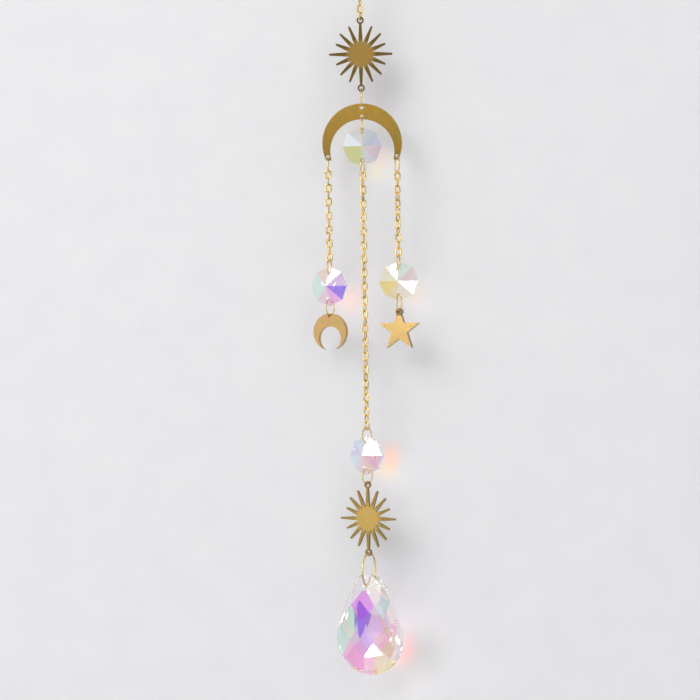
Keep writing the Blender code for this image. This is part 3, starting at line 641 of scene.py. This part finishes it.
def arch_mesh(name):
    """A crescent between two circles, its tips cut flat."""
    tip_x = math.sqrt(ARCH_OUTER_RADIUS**2 - ARCH_TIP_DROP**2)
    height = ARCH_OUTER_RADIUS - ARCH_CROWN_DEPTH + ARCH_TIP_DROP
    inner_radius = ((tip_x - ARCH_TIP_WIDTH) ** 2 + height**2) / (2 * height)
    inner_drop = inner_radius - (ARCH_OUTER_RADIUS - ARCH_CROWN_DEPTH)
    stop = ARCH_TIP_DROP - ARCH_TIP_CORNER
    outer = math.asin(stop / ARCH_OUTER_RADIUS)
    inner = math.asin((stop - inner_drop) / inner_radius)
    tip_outer_x = tip_x - ARCH_TIP_CORNER
    tip_inner_x = tip_x - ARCH_TIP_WIDTH + ARCH_TIP_CORNER
    outline = arc_points(0.0, 0.0, ARCH_OUTER_RADIUS, -outer, math.pi + outer)
    outline += [(-tip_outer_x, -ARCH_TIP_DROP), (-tip_inner_x, -ARCH_TIP_DROP)]
    outline += arc_points(0.0, -inner_drop, inner_radius, math.pi + inner, -inner)
    outline += [(tip_inner_x, -ARCH_TIP_DROP), (tip_outer_x, -ARCH_TIP_DROP)]
    side_outer = math.sqrt(ARCH_OUTER_RADIUS**2 - ARCH_SIDE_HOLE_DROP**2)
    side_inner = math.sqrt(inner_radius**2 - (ARCH_SIDE_HOLE_DROP - inner_drop) ** 2)
    side_x = (side_outer + side_inner) / 2
    upper_z = ARCH_OUTER_RADIUS - ARCH_UPPER_HOLE_INSET
    lower_z = ARCH_OUTER_RADIUS - ARCH_CROWN_DEPTH + ARCH_LOWER_HOLE_INSET
    holes = [
        circle_points(0.0, upper_z, ARCH_CROWN_HOLE / 2, HOLE_SIDES),
        circle_points(0.0, lower_z, ARCH_LOWER_HOLE / 2, HOLE_SIDES),
        circle_points(-side_x, -ARCH_SIDE_HOLE_DROP, ARCH_SIDE_HOLE / 2, HOLE_SIDES),
        circle_points(side_x, -ARCH_SIDE_HOLE_DROP, ARCH_SIDE_HOLE / 2, HOLE_SIDES),
    ]
    return plate_mesh(name, outline, holes, ARCH_THICKNESS)


def make_arch(material):
    arch = bevelled(new_object("arch_plate", arch_mesh("arch")), PLATE_EDGE_BEVEL)
    return stand(arch, under_box_top("arch", ARCH_OUTER_RADIUS), 0.0, "arch", material)


def make_moon(material):
    """The horns end where the inner circle runs out of the outer one."""
    outer, inner, drop = MOON_OUTER_RADIUS, MOON_INNER_RADIUS, MOON_INNER_DROP
    horn_z = (inner**2 - outer**2 - drop**2) / (2 * drop)
    outer_end = math.asin(-horn_z / outer)
    inner_end = math.asin((-horn_z - drop) / inner)
    outline = arc_points(0.0, 0.0, outer, -outer_end, math.pi + outer_end)
    outline += arc_points(0.0, -drop, inner, math.pi + inner_end, -inner_end)[1:-1]
    hole = circle_points(0.0, outer - MOON_HOLE_INSET, MOON_HOLE / 2, HOLE_SIDES)
    moon = new_object("moon_plate", plate_mesh("moon", outline, [hole], MOON_THICKNESS))
    bevelled(moon, PLATE_EDGE_BEVEL)
    return stand(moon, under_box_top("moon", outer), MOON_TURN, "moon", material)


def star_outline():
    """A five-pointed star whose top point runs into a round eye."""
    step = math.pi / STAR_POINTS
    corner = Vector((STAR_INNER_RADIUS * math.sin(step), STAR_INNER_RADIUS * math.cos(step)))
    tip = Vector((0.0, STAR_RADIUS))
    side = (corner - tip).normalized()
    eye = Vector((0.0, STAR_EYE_HEIGHT))
    along = (eye - tip).dot(side)
    off = (tip + side * along - eye).length
    meet = tip + side * (along + math.sqrt(STAR_EYE_RADIUS**2 - off**2))
    start = math.atan2(meet.y - eye.y, meet.x)
    outline = arc_points(0.0, STAR_EYE_HEIGHT, STAR_EYE_RADIUS, start, math.pi - start)
    for index in range(1, 2 * STAR_POINTS):
        radius = STAR_INNER_RADIUS if index % 2 else STAR_RADIUS
        angle = math.pi / 2 + index * step
        outline.append((radius * math.cos(angle), radius * math.sin(angle)))
    return outline


def make_star(material):
    hole = circle_points(0.0, STAR_EYE_HEIGHT, STAR_EYE_HOLE / 2, HOLE_SIDES)
    star = new_object("star_plate", plate_mesh("star", star_outline(), [hole], STAR_THICKNESS))
    bevelled(star, STAR_EDGE_BEVEL)
    drop = STAR_EYE_HEIGHT + STAR_EYE_RADIUS
    return stand(star, under_box_top("star", drop), STAR_TURN, "star", material)


# Crystals


def drilled(stone, holes, depth):
    """Cuts round holes through a crystal. Each is given by its height and its diameter."""
    bm = bmesh.new()
    for height, diameter in holes:
        ends = []
        for y in (-depth, depth):
            points = circle_points(0.0, height, diameter / 2, HOLE_SIDES)
            ends.append([bm.verts.new((x, y, z)) for x, z in points])
        for index in range(HOLE_SIDES):
            other = (index + 1) % HOLE_SIDES
            bm.faces.new((ends[0][index], ends[0][other], ends[1][other], ends[1][index]))
        for end in ends:
            bm.faces.new(end)
    drill = new_object("drill", close_up(bm, "drill"))
    cut = stone.modifiers.new("holes", "BOOLEAN")
    cut.operation = "DIFFERENCE"
    cut.solver = "EXACT"
    cut.object = drill
    graph = bpy.context.evaluated_depsgraph_get()
    mesh = bpy.data.meshes.new_from_object(stone.evaluated_get(graph))
    stone.modifiers.clear()
    stone.data = mesh
    bpy.data.objects.remove(drill)
    return stone


def mark_facets(stone, film_of, back_film):
    """Stores on each facet where it stands in the coating's run of colours, and how strong they are."""
    mesh = stone.data
    film = mesh.attributes.new("film", "FLOAT", "CORNER")
    strength = mesh.attributes.new("film_strength", "FLOAT", "FACE")
    for index, face in enumerate(mesh.polygons):
        for corner in face.loop_indices:
            place = mesh.vertices[mesh.loops[corner].vertex_index].co
            film.data[corner].value = film_of(face, place)
        if abs(face.normal.y) < LEAST_FACET_LEAN:
            strength.data[index].value = GIRDLE_FILM
        else:
            strength.data[index].value = 1.0 if face.normal.y < 0 else back_film


def octagon_mesh(name):
    """Facets on each face rise from the girdle to a point in the middle. A corner is at the top."""
    bm = bmesh.new()
    step = 2 * math.pi / STONE_SIDES
    radius = STONE_ACROSS_FLATS / 2 / math.cos(step / 2)
    angles = [index * step for index in range(STONE_SIDES)]
    rim = [(radius * math.cos(a), radius * math.sin(a)) for a in angles]
    front = [bm.verts.new((x, -STONE_GIRDLE / 2, z)) for x, z in rim]
    back = [bm.verts.new((x, STONE_GIRDLE / 2, z)) for x, z in rim]
    front_point = bm.verts.new((0.0, -STONE_GIRDLE / 2 - STONE_CROWN, 0.0))
    back_point = bm.verts.new((0.0, STONE_GIRDLE / 2 + STONE_CROWN, 0.0))
    for index in range(STONE_SIDES):
        other = (index + 1) % STONE_SIDES
        bm.faces.new((front[index], front[other], front_point))
        bm.faces.new((back[other], back[index], back_point))
        bm.faces.new((front[other], front[index], back[index], back[other]))
    return close_up(bm, name)


def octagon_film(face, _):
    """Facets take their place in the run of colours in turn, anticlockwise from the right."""
    return math.atan2(face.normal.z, face.normal.x) / (2 * math.pi) % 1.0


def make_octagon(node, turn):
    stone = new_object(node + "_stone", octagon_mesh(node))
    corner = STONE_ACROSS_FLATS / 2 / math.cos(math.pi / STONE_SIDES)
    height = corner - STONE_HOLE_INSET
    holes = [(height, STONE_HOLE), (-height, STONE_HOLE)]
    drilled(stone, holes, STONE_GIRDLE + STONE_CROWN)
    mark_facets(stone, octagon_film, STONE_BACK_FILM)
    stone.visible_shadow = False
    glass = crystal(node + "_glass", flat_run(STONE_RUNS[node]))
    return stand(stone, box_middle(node), turn, node, glass)


def drop_support(angle):
    """Distance from the middle of the large circle to the outline's tangent that faces this angle."""
    large = DROP_WIDTH / 2
    rise = DROP_LENGTH - large - DROP_TOP_RADIUS
    return max(large, DROP_TOP_RADIUS + rise * math.sin(angle))


def drop_kites():
    """The kites of a face, each with its row and column, a point on it and its normal."""
    top = DROP_LENGTH - DROP_WIDTH / 2
    middle = top - DROP_CENTRE_SHARE * DROP_LENGTH
    bend_z = (DROP_THICKNESS - DROP_GIRDLE) / 2 / (top - middle) ** 2
    bend_x = bend_z * (DROP_KITE_HALF_HEIGHT / DROP_KITE_HALF_WIDTH) ** 2
    first = top - DROP_KITE_SHARE * DROP_LENGTH
    kites = []
    for row in DROP_KITE_ROWS:
        for column in DROP_KITE_COLUMNS:
            if (row + column) % 2:
                continue
            x = column * DROP_KITE_HALF_WIDTH
            z = first - row * DROP_KITE_HALF_HEIGHT
            depth = DROP_THICKNESS / 2 - bend_x * x**2 - bend_z * (z - middle) ** 2
            normal = Vector((2 * bend_x * x, -1.0, 2 * bend_z * (z - middle))).normalized()
            kites.append(((row, column), Vector((x, -depth, z)), normal))
    return kites


def drop_rim():
    """The facets between kites and girdle, each with its number, a point on it and its normal."""
    facets = []
    for index in range(DROP_RIM_FACETS):
        angle = math.pi / 2 + index * 2 * math.pi / DROP_RIM_FACETS
        outward = Vector((math.cos(angle), 0.0, math.sin(angle)))
        point = outward * drop_support(angle) - Vector((0.0, DROP_GIRDLE / 2, 0.0))
        normal = (outward * DROP_RIM_SLOPE - Vector((0.0, 1.0, 0.0))).normalized()
        facets.append((index, point, normal))
    return facets


def cut_by_plane(bm, point, normal):
    """Keeps what lies behind the plane and closes the cut with one flat face."""
    everything = bm.verts[:] + bm.edges[:] + bm.faces[:]
    cut = bmesh.ops.bisect_plane(
        bm, geom=everything, dist=CUT_TOLERANCE, plane_co=point, plane_no=normal, clear_outer=True
    )
    edges = [item for item in cut["geom_cut"] if isinstance(item, bmesh.types.BMEdge)]
    if edges:
        bmesh.ops.edgeloop_fill(bm, edges=edges)


def drop_mesh(name):
    """A block cut to the pear's outline, then faceted on its front and its back."""
    bm = bmesh.new()
    bmesh.ops.create_cube(bm, size=1.0)
    bmesh.ops.scale(bm, vec=(2 * DROP_LENGTH, DROP_THICKNESS, 2 * DROP_LENGTH), verts=bm.verts)
    for index in range(DROP_GIRDLE_FACETS):
        angle = (index + 0.5) * 2 * math.pi / DROP_GIRDLE_FACETS
        normal = Vector((math.cos(angle), 0.0, math.sin(angle)))
        cut_by_plane(bm, normal * drop_support(angle), normal)
    flip = Vector((1.0, -1.0, 1.0))
    for _, point, normal in drop_kites() + drop_rim():
        cut_by_plane(bm, point, normal)
        cut_by_plane(bm, point * flip, normal * flip)
    return close_up(bm, name)


def drop_film(face, place):
    """The place in the run of colours of the kite or rim facet that this face is a part of."""
    toward = Vector((face.normal.x, -abs(face.normal.y), face.normal.z))
    number = max(drop_kites() + drop_rim(), key=lambda facet: facet[2].dot(toward))[0]
    front = face.normal.y < 0
    colours = DROP_FRONT_COLOURS if front else DROP_BACK_COLOURS
    step = DROP_RUN.index(colours.get(number, CLEAR)) + 0.5
    if not front and number in DROP_BACK_RUN_OVER:
        past = (place.x - DROP_BACK_RUN_OVER[number]) / DROP_KITE_HALF_WIDTH
        step += 0.5 + RUN_OVER_STEPS * past
    return step / len(DROP_RUN)


def make_drop():
    drop = new_object("drop_crystal_stone", drop_mesh("drop"))
    top = DROP_LENGTH - DROP_WIDTH / 2
    holes = [(top - DROP_HOLE_INSET, DROP_HOLE)]
    drilled(drop, holes, DROP_THICKNESS)
    mark_facets(drop, drop_film, DROP_BACK_FILM)
    drop.visible_shadow = False
    middle = box_middle("drop_crystal")
    middle.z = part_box("drop_crystal")[0].z + DROP_WIDTH / 2
    glass = crystal("drop_crystal_glass", flat_run(DROP_RUN))
    return stand(drop, middle, DROP_TURN, "drop_crystal", glass)


# Materials


def fill_ramp(elements, stops):
    """Sets a ramp's colours, given as pairs of a place and a colour."""
    while len(elements) > 1:
        elements.remove(elements[-1])
    elements[0].position = stops[0][0]
    elements[0].color = (*stops[0][1], 1.0)
    for place, colour in stops[1:]:
        elements.new(place).color = (*colour, 1.0)


def greys(tones):
    """Stops of a ramp in plain greys, from pairs of a place and a tone."""
    return [(place, (tone, tone, tone)) for place, tone in tones]


class Shader:
    """A material's nodes, with short ways to add and join them."""

    def __init__(self, name):
        self.material = bpy.data.materials.new(name)
        self.material.use_nodes = True
        self.tree = self.material.node_tree
        self.surface = self.tree.nodes["Principled BSDF"]
        self.coordinates = self.tree.nodes.new("ShaderNodeTexCoord")

    def node(self, kind, settings=None, **inputs):
        """Adds a node. An input is given by its name, with _ for a space, as a value or a socket."""
        node = self.tree.nodes.new(kind)
        for name, value in (settings or {}).items():
            setattr(node, name, value)
        for name, value in inputs.items():
            self.fill(node.inputs[name.replace("_", " ")], value)
        return node

    def fill(self, socket, value):
        if isinstance(value, bpy.types.NodeSocket):
            self.tree.links.new(value, socket)
        else:
            socket.default_value = value

    def put(self, **inputs):
        for name, value in inputs.items():
            self.fill(self.surface.inputs[name.replace("_", " ")], value)

    def noise(self, scale, detail, stretch=(1.0, 1.0, 1.0)):
        """Noise that runs from 0 to 1, with features of about 1 / scale metres."""
        place = self.node("ShaderNodeMapping", Vector=self.coordinates.outputs["Object"], Scale=stretch)
        return self.node(
            "ShaderNodeTexNoise", Vector=place.outputs[0], Scale=scale, Detail=detail
        ).outputs["Fac"]

    def ramp(self, factor, stops):
        node = self.node("ShaderNodeValToRGB", Fac=factor)
        fill_ramp(node.color_ramp.elements, stops)
        return node.outputs["Color"]

    def spread(self, value, low, high, to_low, to_high, kind="LINEAR"):
        """Carries one range over to another, and holds it at the ends."""
        node = self.node("ShaderNodeMapRange", {"interpolation_type": kind}, Value=value)
        ends = {"From Min": low, "From Max": high, "To Min": to_low, "To Max": to_high}
        for name, number in ends.items():
            node.inputs[name].default_value = number
        return node.outputs["Result"]

    def calculate(self, operation, first, second=0.0):
        node = self.tree.nodes.new("ShaderNodeMath")
        node.operation = operation
        self.fill(node.inputs[0], first)
        self.fill(node.inputs[1], second)
        return node.outputs[0]

    def mix(self, factor, first, second, blend="MIX"):
        node = self.tree.nodes.new("ShaderNodeMix")
        node.data_type = "RGBA"
        node.blend_type = blend
        self.fill(node.inputs["Factor"], factor)
        self.fill(node.inputs[MIX_FIRST_COLOUR], first)
        self.fill(node.inputs[MIX_SECOND_COLOUR], second)
        return node.outputs[MIX_COLOUR_OUT]

    def bump(self, height, distance, strength):
        node = self.node("ShaderNodeBump", Height=height, Distance=distance, Strength=strength)
        return node.outputs["Normal"]


def scaled(colour, factor):
    return tuple(channel * factor for channel in colour)


def toned(colour, tone, share):
    """Shifts a colour towards a tone by a share."""
    return tuple(channel * (1 + share * (part - 1)) for channel, part in zip(colour, tone))


def plate_brass(name, colour, roughness, wear, edge, painted_ray_shade=None, painted_shading_by_height=None):
    """Stamped sheet: mottled by handling and brushed up and down, with painted light and shade on its cut
    walls, and where given, painted shade along its rays and painted light and shade up its height.
    """
    shader = Shader(name)
    mottle = shader.noise(MOTTLE_SCALE, MOTTLE_DETAIL)
    mottle_tones = (toned(colour, COOL_TONE, wear), colour, toned(colour, WARM_TONE, wear))
    base = shader.ramp(mottle, list(zip(MOTTLE_PLACES, mottle_tones)))
    brushed = shader.noise(1.0, BRUSH_DETAIL, BRUSH_STRETCH)
    lines = shader.ramp(brushed, greys(BRUSH_TONES))
    base = shader.mix(1.0, base, lines, "MULTIPLY")
    # Painted light and shade: surfaces that face sideways, the cut walls, take the edge tone.
    normal = shader.node("ShaderNodeSeparateXYZ", Vector=shader.coordinates.outputs["Normal"])
    flatness = shader.calculate("ABSOLUTE", normal.outputs["Y"])
    painted_wall_shading = shader.spread(flatness, *WALL_SHADING_FLATNESS, edge, 1.0)
    base = shader.mix(1.0, base, painted_wall_shading, "MULTIPLY")
    # Painted shade that darkens the rays towards their tips
    if painted_ray_shade:
        place = shader.coordinates.outputs["Object"]
        distance = shader.node("ShaderNodeVectorMath", {"operation": "LENGTH"}, Vector=place)
        painted_ray_darkening = shader.spread(distance.outputs["Value"], *painted_ray_shade)
        base = shader.mix(1.0, base, painted_ray_darkening, "MULTIPLY")
    # Painted light and shade by height: a lighter crown on the arch, a darker eye on the star
    if painted_shading_by_height:
        height = shader.node("ShaderNodeSeparateXYZ", Vector=shader.coordinates.outputs["Object"])
        painted_height_shading = shader.spread(height.outputs["Z"], *painted_shading_by_height)
        base = shader.mix(1.0, base, painted_height_shading, "MULTIPLY")
    shader.put(Base_Color=base, Metallic=1.0)
    limits = (roughness - BRUSH_SMOOTHER, roughness + BRUSH_ROUGHER)
    shader.put(Roughness=shader.spread(brushed, *BRUSH_RANGE, *limits))
    shader.put(Normal=shader.bump(brushed, BRUSH_DEPTH, BRUSH_STRENGTH))
    return shader.material


def wire_gold():
    """Plated wire: bright, with faint drawing marks and a slight unevenness of tone."""
    shader = Shader("gold_tone_wire")
    tone = shader.noise(WIRE_TONE_SCALE, WIRE_TONE_DETAIL)
    base = shader.ramp(tone, [(place, scaled(WIRE_COLOUR, factor)) for place, factor in WIRE_TONES])
    marks = shader.noise(WIRE_MARK_SCALE, WIRE_MARK_DETAIL)
    limits = (WIRE_ROUGHNESS - WIRE_SMOOTHER, WIRE_ROUGHNESS + WIRE_ROUGHER)
    shader.put(Base_Color=base, Metallic=1.0)
    shader.put(Roughness=shader.spread(marks, *WIRE_MARK_RANGE, *limits))
    shader.put(Normal=shader.bump(marks, WIRE_MARK_DEPTH, WIRE_MARK_STRENGTH))
    return shader.material


def crystal(name, stops):
    """Clear cut glass whose coating gives each facet a colour of its own."""
    shader = Shader(name)
    film = shader.node("ShaderNodeAttribute", {"attribute_name": "film"}).outputs["Fac"]
    strength = shader.node("ShaderNodeAttribute", {"attribute_name": "film_strength"}).outputs["Fac"]
    wander = shader.noise(FILM_DRIFT_SCALE, FILM_DRIFT_DETAIL)
    drift = shader.spread(wander, *FILM_DRIFT_RANGE, -FILM_DRIFT, FILM_DRIFT)
    colours = shader.ramp(shader.calculate("ADD", film, drift), stops)
    # Glass takes the root of its colour at each passage.
    colours = shader.mix(1.0, colours, colours, "MULTIPLY")
    shader.put(Base_Color=shader.mix(strength, (1.0, 1.0, 1.0, 1.0), colours))
    shader.put(Transmission_Weight=1.0, Roughness=0.0, IOR=GLASS_IOR)
    return shader.material


def flat_run(colours):
    """Colours side by side in equal steps, each held flat over most of its step."""
    count = len(colours)
    return [
        ((index + edge) / count, colour) for index, colour in enumerate(colours) for edge in FLAT_SHARE
    ]


def make_pieces():
    brass = {name: plate_brass(name, **look) for name, look in BRASSES.items()}
    gold = wire_gold()

    make_ring("hanging_ring", HANGING_RING_WIRE, 0.0, gold)
    top_turn = 2 * QUARTER + TOP_CHAIN_SWING
    make_chain("top_chain", TOP_LINKS, 0.0, top_turn, gold)
    make_sun("upper_sun", 0.0, brass["sun_brass"])
    make_ring("ring_sun_to_arch", JUMP_WIRE, QUARTER, gold)
    make_arch(brass["arch_brass"])
    make_ring("ring_arch_to_crystal", JUMP_WIRE, QUARTER, gold)
    make_octagon("upper_crystal", UPPER_CRYSTAL_TURN)
    upper_turn = UPPER_CRYSTAL_TURN + QUARTER + UPPER_RING_SWING
    make_ring("ring_crystal_to_chain", JUMP_WIRE, upper_turn, gold)
    lower_turn = LOWER_CRYSTAL_TURN + QUARTER
    make_chain("centre_chain", CENTRE_LINKS, upper_turn, lower_turn, gold)
    make_ring("ring_chain_to_crystal", JUMP_WIRE, lower_turn, gold)
    make_octagon("lower_crystal", LOWER_CRYSTAL_TURN)
    make_ring("ring_crystal_to_sun", JUMP_WIRE, lower_turn, gold)
    make_sun("lower_sun", LOWER_SUN_TURN, brass["pale_sun_brass"])
    make_ring("ring_sun_to_drop", DROP_RING_WIRE, DROP_TURN + QUARTER + DROP_RING_SWING, gold)
    make_drop()

    make_ring("ring_left_arch_to_chain", JUMP_WIRE, QUARTER, gold)
    stone_turn = LEFT_CRYSTAL_TURN + QUARTER + LEFT_RING_SWING
    make_chain("left_chain", LEFT_LINKS, QUARTER, stone_turn, gold)
    make_ring("ring_left_chain_to_crystal", JUMP_WIRE, stone_turn, gold)
    make_octagon("left_crystal", LEFT_CRYSTAL_TURN)
    charm_turn = (LEFT_CRYSTAL_TURN + MOON_TURN) / 2 + QUARTER
    make_ring("ring_left_crystal_to_moon", JUMP_WIRE, charm_turn, gold)
    make_moon(brass["moon_brass"])

    ring_turn = QUARTER + RIGHT_ARCH_RING_SWING
    make_ring("ring_right_arch_to_chain", JUMP_WIRE, ring_turn, gold)
    stone_turn = RIGHT_CRYSTAL_TURN + QUARTER
    make_chain("right_chain", RIGHT_LINKS, ring_turn, stone_turn, gold)
    make_ring("ring_right_chain_to_crystal", JUMP_WIRE, stone_turn, gold)
    make_octagon("right_crystal", RIGHT_CRYSTAL_TURN)
    charm_turn = (RIGHT_CRYSTAL_TURN + STAR_TURN) / 2 + QUARTER
    make_ring("ring_right_crystal_to_star", JUMP_WIRE, charm_turn, gold)
    make_star(brass["star_brass"])


# Studio


def plane(name, size, location, rotation):
    bm = bmesh.new()
    bmesh.ops.create_grid(bm, x_segments=1, y_segments=1, size=size / 2)
    obj = new_object(name, close_up(bm, name))
    obj.location = location
    obj.rotation_euler = rotation
    return obj


def wall_paint():
    """Pale plaster, with the light and shade that the crystals throw on it. It isn't seen from behind."""
    shader = Shader("wall_paint")
    base = shader.ramp(shader.noise(WALL_TONE_SCALE, WALL_TONE_DETAIL), WALL_TONES)
    place = shader.node("ShaderNodeNewGeometry").outputs["Position"]
    for node, right, up, radius, colour in WALL_GLOWS:
        middle = box_middle(node)
        centre = (middle.x + right, WALL_Y, middle.z + up)
        away = shader.node("ShaderNodeVectorMath", {"operation": "DISTANCE"})
        shader.fill(away.inputs[0], place)
        away.inputs[1].default_value = centre
        share = shader.spread(away.outputs["Value"], 0.0, radius, 1.0, 0.0, "SMOOTHSTEP")
        base = shader.mix(share, base, shader.mix(1.0, base, (*colour, 1.0), "MULTIPLY"))
    grain = shader.noise(WALL_GRAIN_SCALE, WALL_GRAIN_DETAIL)
    shader.put(Base_Color=base, Roughness=WALL_ROUGHNESS)
    shader.put(Normal=shader.bump(grain, WALL_GRAIN_DEPTH, WALL_GRAIN_STRENGTH))
    clear = shader.node("ShaderNodeBsdfTransparent")
    behind = shader.node("ShaderNodeNewGeometry").outputs["Backfacing"]
    chosen = shader.node("ShaderNodeMixShader", Fac=behind)
    shader.fill(chosen.inputs[1], shader.surface.outputs[0])
    shader.fill(chosen.inputs[2], clear.outputs[0])
    shader.fill(shader.tree.nodes["Material Output"].inputs["Surface"], chosen.outputs[0])
    return shader.material


def floor_paint():
    shader = Shader("floor_paint")
    base = shader.ramp(shader.noise(FLOOR_TONE_SCALE, FLOOR_TONE_DETAIL), greys(FLOOR_TONES))
    shader.put(Base_Color=base, Roughness=FLOOR_ROUGHNESS)
    return shader.material


def add_lamp(data, place, direction, roll=0.0):
    """Puts a lamp that shines back along a direction, rolled about it by an angle in degrees."""
    lamp = new_object(data.name, data)
    lamp.location = place
    rolled = direction.to_track_quat("Z", "Y") @ Quaternion((0.0, 0.0, 1.0), math.radians(roll))
    lamp.rotation_euler = rolled.to_euler()
    lamp.visible_camera = False
    return lamp


def make_key_light():
    """A soft lamp at the upper left, which throws the shadows to the lower right."""
    data = bpy.data.lights.new("key_light", "AREA")
    data.energy = KEY_LIGHT_POWER
    data.size = KEY_LIGHT_SIZE
    data.color = KEY_LIGHT_COLOUR
    direction = Vector(KEY_LIGHT_TOWARD).normalized()
    add_lamp(data, VIEW_MIDDLE + direction * KEY_LIGHT_DISTANCE, direction)


def mirror_lamp(name, owner, place, normal, distance, size, radiance, roll=0.0):
    """A lamp placed so that a flat of a piece mirrors it to the camera. It puts no light on the wall."""
    turn = Matrix.Rotation(owner.rotation_euler.z, 3, "Z")
    here = owner.location + turn @ place
    normal = turn @ normal
    toward = (CAMERA_PLACE - here).normalized()
    direction = 2 * normal.dot(toward) * normal - toward
    data = bpy.data.lights.new(name, "AREA")
    data.shape = "RECTANGLE"
    data.size, data.size_y = size
    data.energy = radiance * math.pi * size[0] * size[1]
    lamp = add_lamp(data, here + direction * distance, direction, roll)
    lamp.visible_diffuse = False


def make_flashes():
    """The facets that flash white to the camera, and the light from the left on the turned brass."""
    apothem = STONE_ACROSS_FLATS / 2
    forward = Vector((0.0, -1.0, 0.0))
    for node, index, radiance in STONE_FLASHES:
        angle = (index + 0.5) * 2 * math.pi / STONE_SIDES
        outward = Vector((math.cos(angle), 0.0, math.sin(angle)))
        # The middle of a triangle is a third of the way from its base to its point.
        place = outward * apothem * 2 / 3 + forward * (STONE_GIRDLE / 2 + STONE_CROWN / 3)
        normal = (outward * STONE_CROWN + forward * apothem).normalized()
        owner = bpy.data.objects[node + "_stone"]
        name = f"{node}_flash_{index}"
        mirror_lamp(name, owner, place, normal, FLASH_DISTANCE, FLASH_SIZE, radiance)
    kites = {number: (place, normal) for number, place, normal in drop_kites()}
    drop = bpy.data.objects["drop_crystal_stone"]
    place, normal = kites[DROP_FLASH_KITE]
    mirror_lamp(
        "drop_flash", drop, place, normal, DROP_FLASH_DISTANCE, DROP_FLASH_SIZE, DROP_FLASH_RADIANCE,
        DROP_FLASH_ROLL,
    )
    sun = bpy.data.objects["lower_sun_plate"]
    mirror_lamp("side_window", sun, Vector(), forward, WINDOW_DISTANCE, WINDOW_SIZE, WINDOW_RADIANCE)


def make_world():
    """Soft light all round, brighter from the upper left."""
    world = bpy.data.worlds.new("studio")
    bpy.context.scene.world = world
    world.use_nodes = True
    tree = world.node_tree
    direction = tree.nodes.new("ShaderNodeTexCoord")
    toward = tree.nodes.new("ShaderNodeVectorMath")
    toward.operation = "DOT_PRODUCT"
    toward.inputs[1].default_value = Vector(WORLD_BRIGHT_SIDE).normalized()
    ramp = tree.nodes.new("ShaderNodeValToRGB")
    fill_ramp(ramp.color_ramp.elements, greys(WORLD_TONES))
    shift = tree.nodes.new("ShaderNodeMapRange")
    shift.inputs["From Min"].default_value = -1.0
    tree.links.new(direction.outputs["Generated"], toward.inputs[0])
    tree.links.new(toward.outputs["Value"], shift.inputs["Value"])
    tree.links.new(shift.outputs["Result"], ramp.inputs["Fac"])
    tree.links.new(ramp.outputs["Color"], tree.nodes["Background"].inputs["Color"])
    tree.nodes["Background"].inputs["Strength"].default_value = WORLD_STRENGTH


def make_camera():
    data = bpy.data.cameras.new("camera")
    data.lens = CAMERA_LENS
    data.sensor_width = CAMERA_SENSOR
    data.clip_start = CAMERA_CLIP_START
    camera = new_object("camera", data)
    camera.location = CAMERA_PLACE
    camera.rotation_euler = (math.pi / 2, CAMERA_ROLL, 0.0)
    bpy.context.scene.camera = camera


def make_studio():
    wall = plane("wall", ROOM_SIZE, (0.0, WALL_Y, FLOOR_Z + ROOM_SIZE / 2), (math.pi / 2, 0.0, 0.0))
    wall.data.materials.append(wall_paint())
    floor = plane("floor", ROOM_SIZE, (0.0, WALL_Y - ROOM_SIZE / 2, FLOOR_Z), (0.0, 0.0, 0.0))
    floor.data.materials.append(floor_paint())
    make_key_light()
    make_flashes()
    make_world()
    # Cut glass mirrors light many times inside itself.
    cycles = bpy.context.scene.cycles
    cycles.max_bounces = cycles.glossy_bounces = cycles.transmission_bounces = LIGHT_BOUNCES
    bpy.context.scene.view_settings.view_transform = "Standard"


make_pieces()
make_studio()
make_camera()
